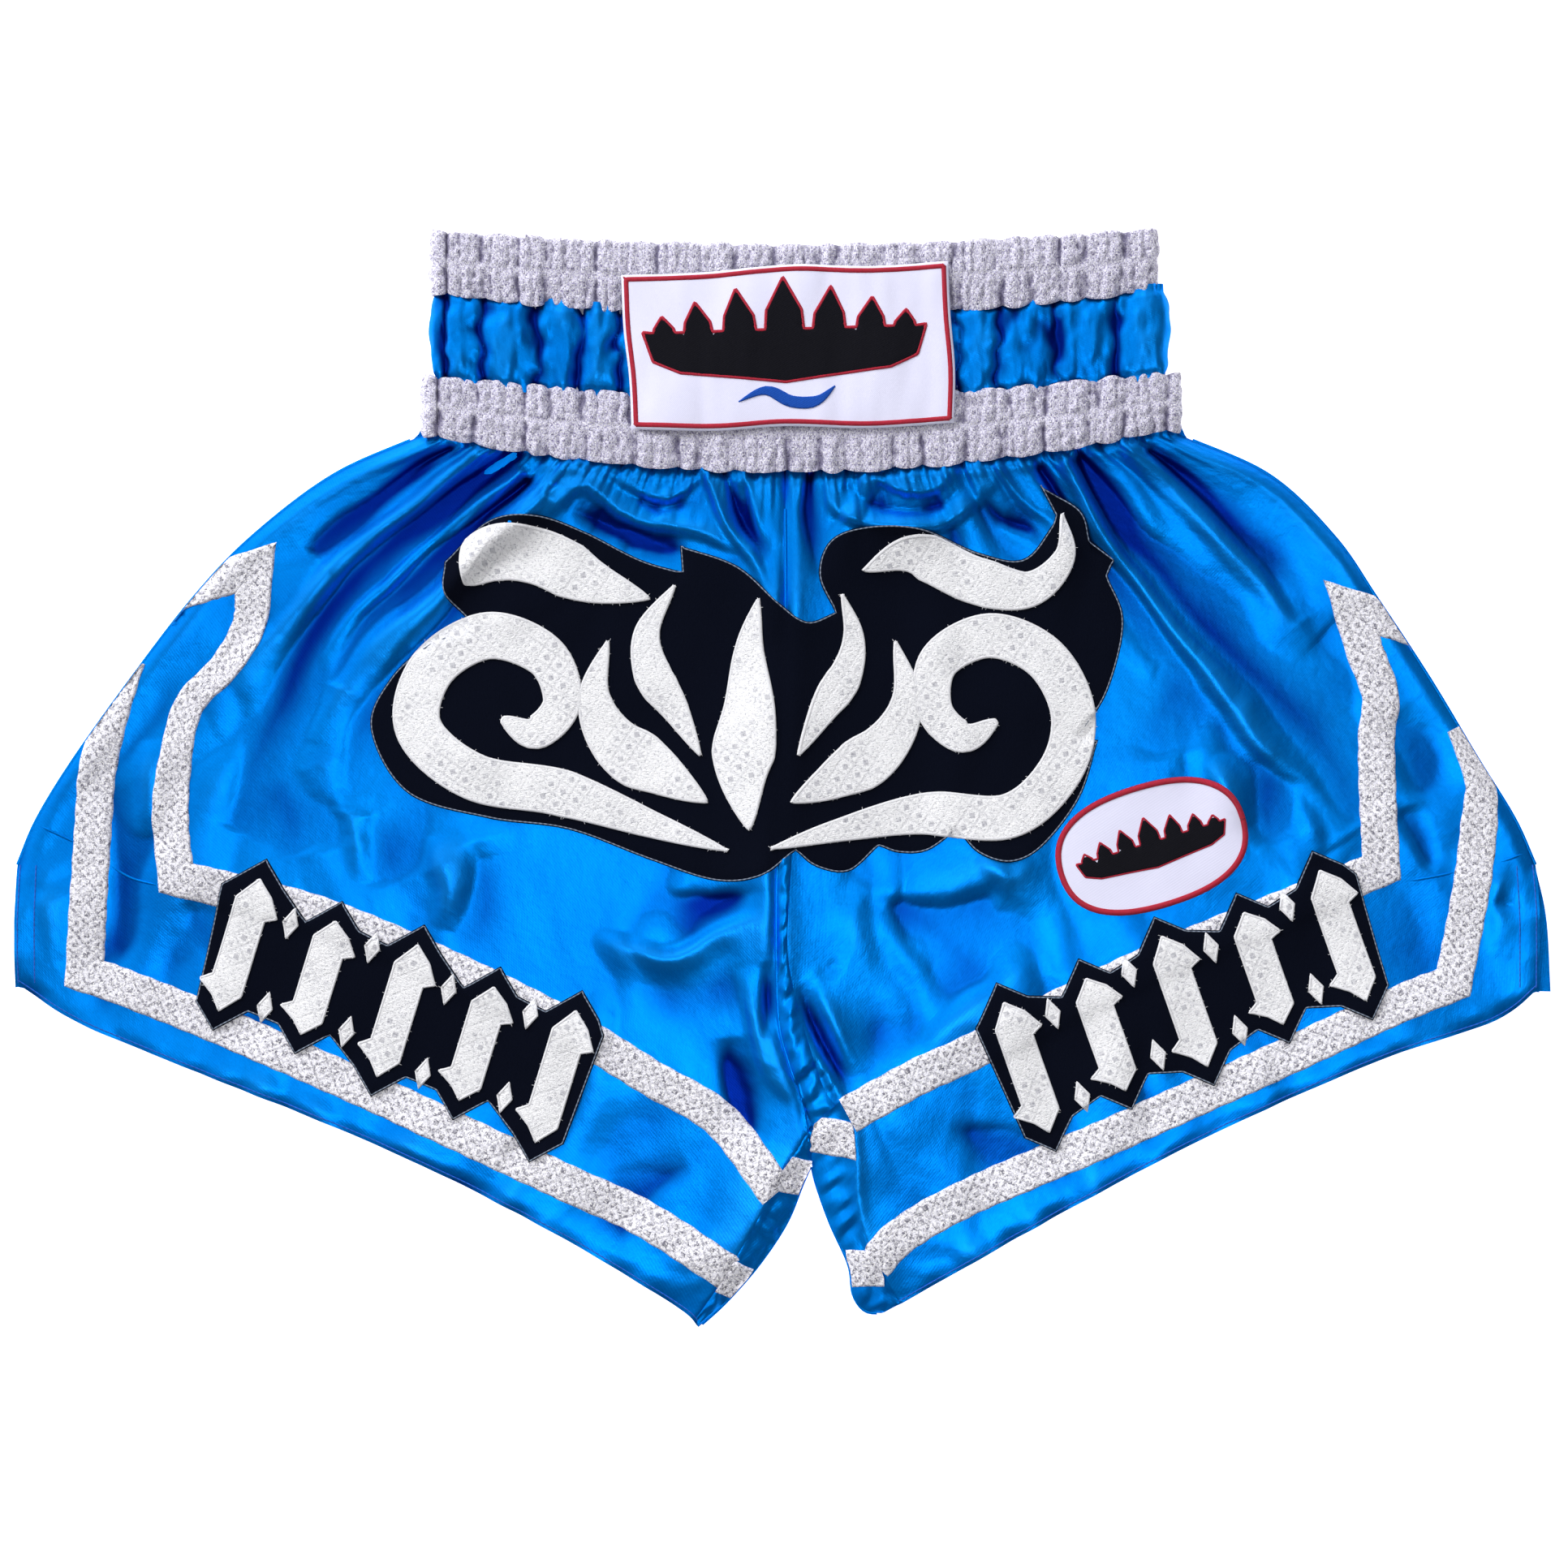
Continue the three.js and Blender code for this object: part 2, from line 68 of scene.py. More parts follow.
SIDE = {
    "right": [(-156, 149), (-195, 131.5), (-230, 105), (-255, 79), (-282, 44), (-307, 9),
              (-323, -17), (-331.5, -37)],
    "left": [(171, 149), (210, 131.5), (238, 105), (256, 79), (279, 44), (300, 9), (316, -17),
             (325, -37)]}
VENT = {"right": [(-331.5, -37), (-332, -60), (-332, -88)],
        "left": [(325, -37), (326, -60), (326, -90)]}
HEM = {
    "right": [(-332, -88), (-306, -104.5), (-265, -122), (-178.5, -157), (-107, -192),
              (-48, -227), (-37, -237)],
    "left": [(326, -90), (307, -104.5), (256, -122), (178, -157), (112, -192), (50, -227),
             (42, -231)]}
CROTCH = (12, -166)
INSEAM = {"right": [CROTCH, (8, -175), (1, -192), (-11, -210), (-25, -226), (-37, -237)],
          "left": [CROTCH, (14, -175), (20, -192), (28, -210), (30, -223), (35, -230), (42, -231)]}
CENTRE_SEAM = [(0.5, 128), (0.5, 60), (-3, -40), (-2.5, -100), (2, -122), (8, -140), CROTCH]
CENTRE_SEAM_LOW = [(-3.2, -36), (-2.7, -69), (-2.5, -100), (2, -122), (8, -140), (12, -149)]
FLAP = [(3.5, -32), (1.5, -69), (4, -90), (11.4, -116.5), (17, -133), (22, -141)]
FACING = {                    # inner edge of the strip rolled round from the back
    "right": [(12, -149), (5, -161), (-2, -171), (-7, -182), (-17, -200), (-27, -217),
              (-38, -233)],
    "left": [(24, -139), (29.5, -149), (31, -164), (31.5, -180), (35, -197), (40, -208), (46, -220),
             (50, -226)]}
SIGN = {"right": -1, "left": 1}


# ---- Lines ----
def smooth(points, step=2.0, closed=False):
    """A Catmull-Rom line through the points, sampled about every step millimetres."""
    p = np.array(points, float)
    if closed:
        p = np.vstack([p[-1], p, p[0], p[1]])
    else:
        p = np.vstack([2 * p[0] - p[1], p, 2 * p[-1] - p[-2]])
    out = []
    for a, b, c, d in zip(p[:-3], p[1:-2], p[2:-1], p[3:]):
        n = max(1, int(round(np.linalg.norm((c - b)[:2]) / step)))
        t = np.linspace(0, 1, n, endpoint=False)[:, None]
        out.append(0.5 * (2 * b + (c - a) * t + (2 * a - 5 * b + 4 * c - d) * t ** 2
                          + (3 * b - a - 3 * c + d) * t ** 3))
    if not closed:
        out.append(p[-2][None])
    return np.vstack(out)


def run_along(line):
    """Distance from the start of the line to each of its points."""
    steps = np.linalg.norm(np.diff(line[:, :2], axis=0), axis=1)
    return np.concatenate([[0], np.cumsum(steps)])


def spaced(line, count):
    """The line resampled at count points, evenly along its length."""
    line = np.array(line, float)
    run = run_along(line)
    at = np.linspace(0, run[-1], count)
    return np.stack([np.interp(at, run, line[:, k]) for k in range(line.shape[1])], axis=1)


def length_of(line):
    """Length of the line as seen from above."""
    return float(np.linalg.norm(np.diff(np.array(line)[:, :2], axis=0), axis=1).sum())


def side_normals(line, closed=False):
    """Unit vectors to the left of the line's direction, at each point."""
    if closed:
        d = np.roll(line, -1, axis=0) - np.roll(line, 1, axis=0)
    else:
        d = np.gradient(line, axis=0)
    d = d[:, :2]
    d = d / np.maximum(np.linalg.norm(d, axis=1, keepdims=True), 1e-9)
    return np.stack([-d[:, 1], d[:, 0]], axis=1)


def distance_to_line(xy, line):
    """Distance, signed offset to the left, and share of the way along, for each point."""
    best = np.full(len(xy), 1e9)
    signed = np.zeros(len(xy))
    along = np.zeros(len(xy))
    n = len(line) - 1
    for i in range(n):
        a, b = line[i, :2], line[i + 1, :2]
        d = b - a
        size = max(float(d @ d), 1e-9)
        t = np.clip(((xy - a) @ d) / size, 0, 1)
        gap = xy - (a + t[:, None] * d)
        dist = np.hypot(gap[:, 0], gap[:, 1])
        near = dist < best
        best = np.where(near, dist, best)
        side = np.sign(d[0] * gap[:, 1] - d[1] * gap[:, 0])
        signed = np.where(near, side * dist, signed)
        along = np.where(near, (i + t) / n, along)
    return best, signed, along


def gap_to(xy, edge, step=4.0):
    """Distance of each point from the smooth line through the edge's points."""
    return distance_to_line(xy, smooth(edge, step))[0]


def fade(gap, reach):
    """1 at an edge, falling away over the reach."""
    return np.exp(-np.maximum(gap, 0) / reach)


def closed_up(outline):
    """The outline with its first point repeated at the end."""
    return np.vstack([outline, outline[:1]])


def signed_area(outline):
    """Twice the area, positive where the outline runs anticlockwise."""
    x, y = outline[:, 0], outline[:, 1]
    return np.sum(x * np.roll(y, -1) - np.roll(x, -1) * y)


def turned(outline, angle, centre):
    c, s = math.cos(angle), math.sin(angle)
    return np.array(outline, float) @ np.array([[c, s], [-s, c]]) + np.array(centre, float)


def ahead_and_across(angle):
    """The direction at the angle, and the one a quarter turn clockwise from it."""
    ahead = np.array([math.cos(angle), math.sin(angle)])
    return ahead, np.array([ahead[1], -ahead[0]])


def inside(xy, outline):
    """Which points lie inside the closed outline."""
    x, y = xy[:, 0], xy[:, 1]
    hit = np.zeros(len(xy), bool)
    for (ax, ay), (bx, by) in zip(outline, np.roll(outline, -1, axis=0)):
        if ay == by:
            continue
        cross = (ay > y) != (by > y)
        hit ^= cross & (x < ax + (y - ay) * (bx - ax) / (by - ay))
    return hit


def sagging(edge, x):
    """Y of a waistband edge, which sags in the middle."""
    side, sag = WAIST_EDGES[edge]
    return side - sag * (1 - np.minimum(1, (np.asarray(x, float) / SAG_HALF) ** 2))


def ease(low, high, x):
    """0 below low, 1 above high, smooth in the middle."""
    t = np.clip((np.asarray(x, float) - low) / (high - low), 0, 1)
    return t * t * (3 - 2 * t)


# ---- Finishes ----
class Value:
    """An output socket of a tree of nodes: arithmetic on it adds Math nodes."""

    def __init__(self, nodes, socket):
        self.nodes = nodes
        self.socket = socket

    def math(self, operation, *terms):
        return self.nodes.node("ShaderNodeMath", {"operation": operation}, dict(enumerate(terms)))

    def __add__(self, other):
        return self.math("ADD", self, other)

    __radd__ = __add__

    def __mul__(self, other):
        return self.math("MULTIPLY", self, other)

    __rmul__ = __mul__

    def __sub__(self, other):
        return self.math("SUBTRACT", self, other)

    def __rsub__(self, other):
        return self.math("SUBTRACT", other, self)

    def __truediv__(self, other):
        return self.math("DIVIDE", self, other)

    def __abs__(self):
        return self.math("ABSOLUTE", self)

    def sin(self):
        return self.math("SINE", self)

    def fract(self):
        return self.math("FRACT", self)

    def least(self, other):
        return self.math("MINIMUM", self, other)

    def most(self, other):
        return self.math("MAXIMUM", self, other)

    def between(self, low, high):
        """0 below low, 1 above high, smooth in the middle."""
        return self.nodes.node(
            "ShaderNodeMapRange", {"interpolation_type": "SMOOTHSTEP"},
            {"Value": self, "From Min": low, "From Max": high, "To Min": 0.0, "To Max": 1.0})


class Nodes:
    """A tree of nodes, which all come from node()."""

    def __init__(self, tree):
        self.tree = tree

    def node(self, kind, settings=None, inputs=None, output=0):
        made = self.tree.nodes.new(kind)
        for key, value in (settings or {}).items():
            setattr(made, key, value)
        for key, value in (inputs or {}).items():
            self.feed(made.inputs[key], value)
        return Value(self, made.outputs[output])

    def feed(self, socket, value):
        if isinstance(value, Value):
            self.tree.links.new(value.socket, socket)
        elif isinstance(value, tuple) and len(value) == 3 and socket.type == "RGBA":
            socket.default_value = (*value, 1)
        else:
            socket.default_value = value


class Finish(Nodes):
    """One material, built of nodes on a Principled shader; its slot is kept but not used."""

    def __init__(self, name, slot=None, **constants):
        self.material = bpy.data.materials.new(name)
        self.material.use_nodes = True
        super().__init__(self.material.node_tree)
        self.slot = slot
        self.shader = self.tree.nodes["Principled BSDF"]
        for socket, value in constants.items():
            self.shader.inputs[socket.replace("_", " ")].default_value = value

    def set(self, **links):
        for socket, value in links.items():
            self.feed(self.shader.inputs[socket.replace("_", " ")], value)
        return self

    def uv(self):
        """Cloth coordinates in millimetres: along, across."""
        both = self.node("ShaderNodeUVMap", {"uv_map": "Cloth"})
        along = self.node("ShaderNodeSeparateXYZ", None, {0: both})
        return both, along, Value(self, along.socket.node.outputs[1])

    def fold(self):
        """How far the cloth stands above its surroundings: -1 in a valley, 1 on a crest. The finishes
        paint shade in the valleys and highlights on the crests from it.
        """
        return self.node("ShaderNodeAttribute", {"attribute_name": "Fold"}, output=2)

    def place(self):
        """Object coordinates in metres."""
        return self.node("ShaderNodeTexCoord", output=3)

    def scaled(self, vector, by):
        return self.node("ShaderNodeVectorMath", {"operation": "MULTIPLY"}, {0: vector, 1: by})

    def noise(self, vector, scale, detail=3.0, roughness=0.55):
        return self.node("ShaderNodeTexNoise", None, {
            "Vector": vector, "Scale": scale, "Detail": detail, "Roughness": roughness})

    def mix(self, share, first, second):
        return self.node("ShaderNodeMix", {"data_type": "RGBA"},
                         {"Factor": share, 6: first, 7: second}, output=2)

    def bump(self, height, depth_mm, under=None):
        inputs = {"Height": height, "Distance": depth_mm * MM, "Strength": 1.0}
        if under is not None:
            inputs["Normal"] = under
        return self.node("ShaderNodeBump", None, inputs)


def make_satin():
    satin = Finish("azure_satin", "satin", Metallic=0.86, Specular_IOR_Level=0.5,
                   Specular_Tint=(0.1, 0.5, 1.0, 1.0))
    cloth, along, across = satin.uv()
    slub = satin.noise(satin.scaled(cloth, (0.35, 0.02, 1.0)), 6.0, 4.0)
    # Mask for broad soft patches of painted shade, placed at random.
    shade_patches = satin.noise(cloth, 0.02, 2.0)
    fleck = satin.noise(cloth, 0.9, 3.0, 0.7)
    colour = satin.mix(slub * 0.6 + fleck * 1.1 - 0.3, (0.0, 0.20, 0.79), (0.0, 0.305, 1.0))
    # Painted shade: the colour goes darker blue in broad soft patches.
    colour = satin.mix(shade_patches.between(0.35, 0.7) * 0.3, colour, (0.0, 0.15, 0.74))
    # Painted shade: the colour goes deep navy in the fold valleys, from the Fold attribute.
    colour = satin.mix((0 - satin.fold()).between(0.02, 1.0), colour, (0.0, 0.014, 0.25))
    # Painted highlight: the colour goes lighter azure on the fold crests.
    colour = satin.mix(satin.fold().between(0.2, 1.0) * 0.35, colour, (0.01, 0.33, 1.0))
    warp = (along * (2 * math.pi / 0.55)).sin() * 0.5 + 0.5
    weft = (across * (2 * math.pi / 1.1) + along * 2.4).sin() * 0.5 + 0.5
    grain = satin.noise(satin.scaled(cloth, (1.6, 0.25, 1.0)), 1.0, 5.0, 0.65)
    weave = satin.bump(warp * 0.35 + weft * 0.3 + grain * 0.8, 0.05)
    pucker = satin.bump(satin.noise(cloth, 0.11, 3.0), 0.35, weave)
    return satin.set(Base_Color=colour, Roughness=0.35 + slub * 0.1, Normal=pucker)


def lattice(along, across, pitch):
    """Diamond lines with a small flower in each diamond, 0 on the ground and 1 on the lines."""
    a = along / pitch + across / pitch
    b = along / pitch - across / pitch
    line_a = abs(a.fract() - 0.5)
    line_b = abs(b.fract() - 0.5)
    lines = 1 - line_a.least(line_b).between(0.05, 0.12)
    return lines, (line_a + line_b).between(0.70, 0.80)


def make_brocade(name, pitch, ground, shade, woven, crumple):
    """Silvery figured cloth; woven is the strength of its lattice against its mottling."""
    brocade = Finish(name, "brocade", Metallic=0.15, Specular_IOR_Level=0.6)
    cloth, along, across = brocade.uv()
    lines, flower = lattice(along, across, pitch)
    speck = brocade.noise(cloth, 0.95, 2.0, 0.7)
    blotch = brocade.noise(cloth, 0.45, 3.0, 0.7)
    glint = brocade.noise(cloth, 1.2, 3.0, 0.7)
    worn = brocade.noise(cloth, 0.3, 2.0).between(0.35, 0.62)
    dark = (lines * 0.6).most(flower * 0.75) * woven * (0.35 + worn * 0.65)
    dark = (dark + speck.between(0.50, 0.64) * 0.5 + blotch.between(0.47, 0.60) * 0.5).least(1.0)
    colour = brocade.mix(dark, ground, shade)
    colour = brocade.mix(glint.between(0.50, 0.60), colour, (1.0, 0.99, 1.0))
    # Painted shade: the colour goes dark lavender in the pleat valleys, from the Fold attribute.
    valley = (0 - brocade.fold()).between(0.0, 0.7)
    colour = brocade.mix(valley * 0.8, colour, (0.10, 0.085, 0.19))
    height = speck * 0.5 + glint * 0.4 + blotch * 0.8 - flower * 0.4
    return brocade.set(Base_Color=colour, Roughness=0.38 + dark * 0.3,
                       Normal=brocade.bump(height, crumple))


def make_felt():
    felt = Finish("black_felt", "black_felt", Specular_IOR_Level=0.08)
    place = felt.place()
    fibre = felt.noise(place, 2600.0, 4.0, 0.7)
    twill = felt.noise(felt.scaled(place, (1.0, 0.35, 1.0)), 1300.0, 2.0)
    colour = felt.mix(fibre, (0.0006, 0.0012, 0.0045), (0.003, 0.0045, 0.012))
    return felt.set(Base_Color=colour, Roughness=0.86 + fibre * 0.1,
                    Normal=felt.bump(fibre + twill, 0.12))


def make_embroidery():
    cloth = Finish("white_embroidery", "white_applique", Metallic=0.05, Specular_IOR_Level=0.5)
    spot, along, across = cloth.uv()
    lines, flower = lattice(along, across, 9.0)
    speck = cloth.noise(spot, 1.0, 3.0, 0.75)
    faded = cloth.noise(spot, 0.05, 1.0).between(0.4, 0.6)
    stitch = cloth.noise(cloth.scaled(spot, (0.5, 2.2, 1.0)), 1.0, 3.0, 0.65)
    dark = (lines * 0.25).most(flower * 0.6) * faded + speck.between(0.52, 0.66) * 0.7
    colour = cloth.mix(dark.least(1.0), (0.97, 0.97, 1.0), (0.40, 0.40, 0.46))
    return cloth.set(Base_Color=colour, Roughness=0.5 + dark * 0.25,
                     Normal=cloth.bump(stitch - speck - lines * 0.2, 0.55))


def make_thread(name, slot, base, deep, rib=0.45):
    """Dense satin stitch: ribs across the line, u running along it in millimetres."""
    thread = Finish(name, slot, Specular_IOR_Level=0.5, Sheen_Weight=0.1)
    cloth, along, _ = thread.uv()
    wobble = thread.noise(cloth, 0.6, 2.0)
    ribs = ((along + wobble * 0.5) * (2 * math.pi / rib)).sin() * 0.5 + 0.5
    colour = thread.mix(ribs * 0.5 + wobble * 0.4, deep, base)
    return thread.set(Base_Color=colour, Roughness=0.5 + ribs * 0.12,
                      Normal=thread.bump(ribs, 0.12))


def make_twill():
    twill = Finish("white_twill", "white_twill", Specular_IOR_Level=0.35, Sheen_Weight=0.1)
    cloth, along, across = twill.uv()
    diagonal = ((along + across * 1.6) * (2 * math.pi / 0.9)).sin() * 0.5 + 0.5
    soil = twill.noise(cloth, 0.05, 3.0)
    colour = twill.mix(diagonal * 0.35 + soil * 0.4, (0.71, 0.71, 0.90), (0.79, 0.79, 0.97))
    return twill.set(Base_Color=colour, Roughness=0.72 + diagonal * 0.1,
                     Normal=twill.bump(diagonal, 0.06))


def make_emblem(name, slot, base, deep):
    """Filled embroidery, in short slanted stitches."""
    emblem = Finish(name, slot, Specular_IOR_Level=0.12)
    cloth, along, across = emblem.uv()
    rows = ((along * 0.35 + across) * (2 * math.pi / 0.55)).sin() * 0.5 + 0.5
    tuft = emblem.noise(cloth, 1.4, 2.0)
    colour = emblem.mix(rows * 0.5 + tuft * 0.4, deep, base)
    return emblem.set(Base_Color=colour, Roughness=0.62 + rows * 0.15,
                      Normal=emblem.bump(rows + tuft, 0.1))


def make_lining():
    lining = Finish("lining_cloth", "lining", Specular_IOR_Level=0.3)
    cloth, along, across = lining.uv()
    turns = 2 * math.pi / 1.1
    rows = (along * turns).sin() * (across * turns).sin()
    fuzz = lining.noise(cloth, 0.9, 3.0)
    colour = lining.mix(rows * 0.25 + fuzz * 0.6, (0.42, 0.44, 0.54), (0.62, 0.64, 0.72))
    return lining.set(Base_Color=colour, Roughness=0.75 + fuzz * 0.15,
                      Normal=lining.bump(rows * 0.5 + fuzz, 0.1))


SATIN = make_satin()
TAPE_BROCADE = make_brocade("tape_brocade", 9.0, (0.87, 0.86, 0.95), (0.17, 0.165, 0.22), 1.0, 0.4)
BAND_BROCADE = make_brocade("band_brocade", 8.0, (0.75, 0.725, 0.91), (0.15, 0.125, 0.28), 0.6, 1.0)
FELT = make_felt()
EMBROIDERY = make_embroidery()
WHITE_THREAD = make_thread("white_thread", "white_applique", (0.98, 0.98, 1.0), (0.62, 0.62, 0.67))
RED_THREAD = make_thread("red_thread", "red_thread", (0.60, 0.012, 0.045), (0.26, 0.003, 0.018))
PALE_THREAD = make_thread("pale_thread", "white_applique", (0.30, 0.36, 0.46), (0.02, 0.03, 0.06),
                          rib=2.2)
BLUE_STITCH = make_thread("blue_stitching", "satin", (0.0, 0.15, 0.72), (0.0, 0.05, 0.36), rib=2.4)
TWILL = make_twill()
BLACK_EMBLEM = make_emblem("black_embroidery", "black_thread", (0.009, 0.009, 0.014),
                           (0.002, 0.002, 0.004))
BLUE_EMBLEM = make_emblem("blue_embroidery", "blue_thread", (0.02, 0.12, 0.58), (0.005, 0.04, 0.28))
LINING = make_lining()


# ---- Pieces ----
def make_piece(name, points, faces, uvs, finish, nodes=()):
    """A mesh from points in millimetres, with cloth coordinates at each point."""
    mesh = bpy.data.meshes.new(name)
    points = np.asarray(points, float)
    faces = [tuple(int(k) for k in f) for f in faces]
    mesh.from_pydata((points * MM).tolist(), [], faces)
    mesh.validate()
    layer = mesh.uv_layers.new(name="Cloth")
    corner = np.empty(len(mesh.loops), int)
    mesh.loops.foreach_get("vertex_index", corner)
    layer.data.foreach_set("uv", np.asarray(uvs, float)[corner].ravel())
    mesh.polygons.foreach_set("use_smooth", [True] * len(mesh.polygons))
    mesh.materials.append(finish.material)
    obj = bpy.data.objects.new(name, mesh)
    bpy.context.scene.collection.objects.link(obj)
    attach(obj, "root")
    if nodes:
        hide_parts(*nodes)
    return obj


def mark_folds(obj, values):
    """Store how high each point stands above its surroundings, from -1 to 1, as the mask for painted
    shade and painted highlights.
    """
    layer = obj.data.attributes.new("Fold", "FLOAT", "POINT")
    layer.data.foreach_set("value", np.clip(np.asarray(values, float), -1, 1).ravel())


def blurred(grid, reach):
    """The grid of heights averaged over reach points each way."""
    for axis in (0, 1):
        padded = np.concatenate([np.repeat(np.take(grid, [0], axis), reach, axis), grid,
                                 np.repeat(np.take(grid, [-1], axis), reach, axis)], axis)
        total = np.cumsum(padded, axis)
        width = 2 * reach + 1
        zero = np.zeros_like(np.take(total, [0], axis))
        total = np.concatenate([zero, total], axis)
        size = grid.shape[axis]
        ahead = np.take(total, range(width, width + size), axis)
        grid = (ahead - np.take(total, range(size), axis)) / width
    return grid


def grid_faces(rows, columns, wrap=False, flip=False):
    """Quads of a grid of points stored row by row."""
    out = []
    last = columns if wrap else columns - 1
    for r in range(rows - 1):
        for c in range(last):
            d = (c + 1) % columns
            quad = (r * columns + c, r * columns + d, (r + 1) * columns + d, (r + 1) * columns + c)
            out.append(quad[::-1] if flip else quad)
    return out


class Ground:
    """The surface that sewn-on pieces lie on."""

    def __init__(self, *objects):
        points, faces = [], []
        for obj in objects:
            start = len(points)
            points += [v.co / MM for v in obj.data.vertices]
            faces += [[start + i for i in p.vertices] for p in obj.data.polygons]
        self.tree = BVHTree.FromPolygons(points, faces)

    def height(self, x, y):
        hit = self.tree.ray_cast(Vector((x, y, ABOVE_ALL)), Vector((0, 0, -1)))[0]
        if hit is None:
            hit = self.tree.find_nearest(Vector((x, y, FRONT_Z)))[0]
        return hit.z

    def heights(self, xy, soften=0.0):
        """Height under each point; soften blends it with the mean of the places around it."""
        ring = [(0, 0)]
        if soften:
            ring += [(soften * math.cos(k * math.pi / 3), soften * math.sin(k * math.pi / 3))
                     for k in range(6)]
        found = np.array([[self.height(x + dx, y + dy) for dx, dy in ring] for x, y in xy[:, :2]])
        return found[:, 0] if not soften else 0.5 * found[:, 0] + 0.5 * found.mean(axis=1)


# ---- Body panels ----
def four_sided(top, bottom, inner, outer, columns, rows):
    """Points of a patch between four edges; rows run from top to bottom, columns outwards."""
    t, b = spaced(top, columns), spaced(bottom, columns)
    i, o = spaced(inner, rows), spaced(outer, rows)
    u = np.linspace(0, 1, columns)[None, :, None]
    v = np.linspace(0, 1, rows)[:, None, None]
    corners = ((1 - u) * (1 - v) * t[0] + u * (1 - v) * t[-1]
               + (1 - u) * v * b[0] + u * v * b[-1])
    return (1 - v) * t[None] + v * b[None] + (1 - u) * i[:, None] + u * o[:, None] - corners


FOLD_BEFORE = 0.35            # share of the folds that is there before the cloth settles

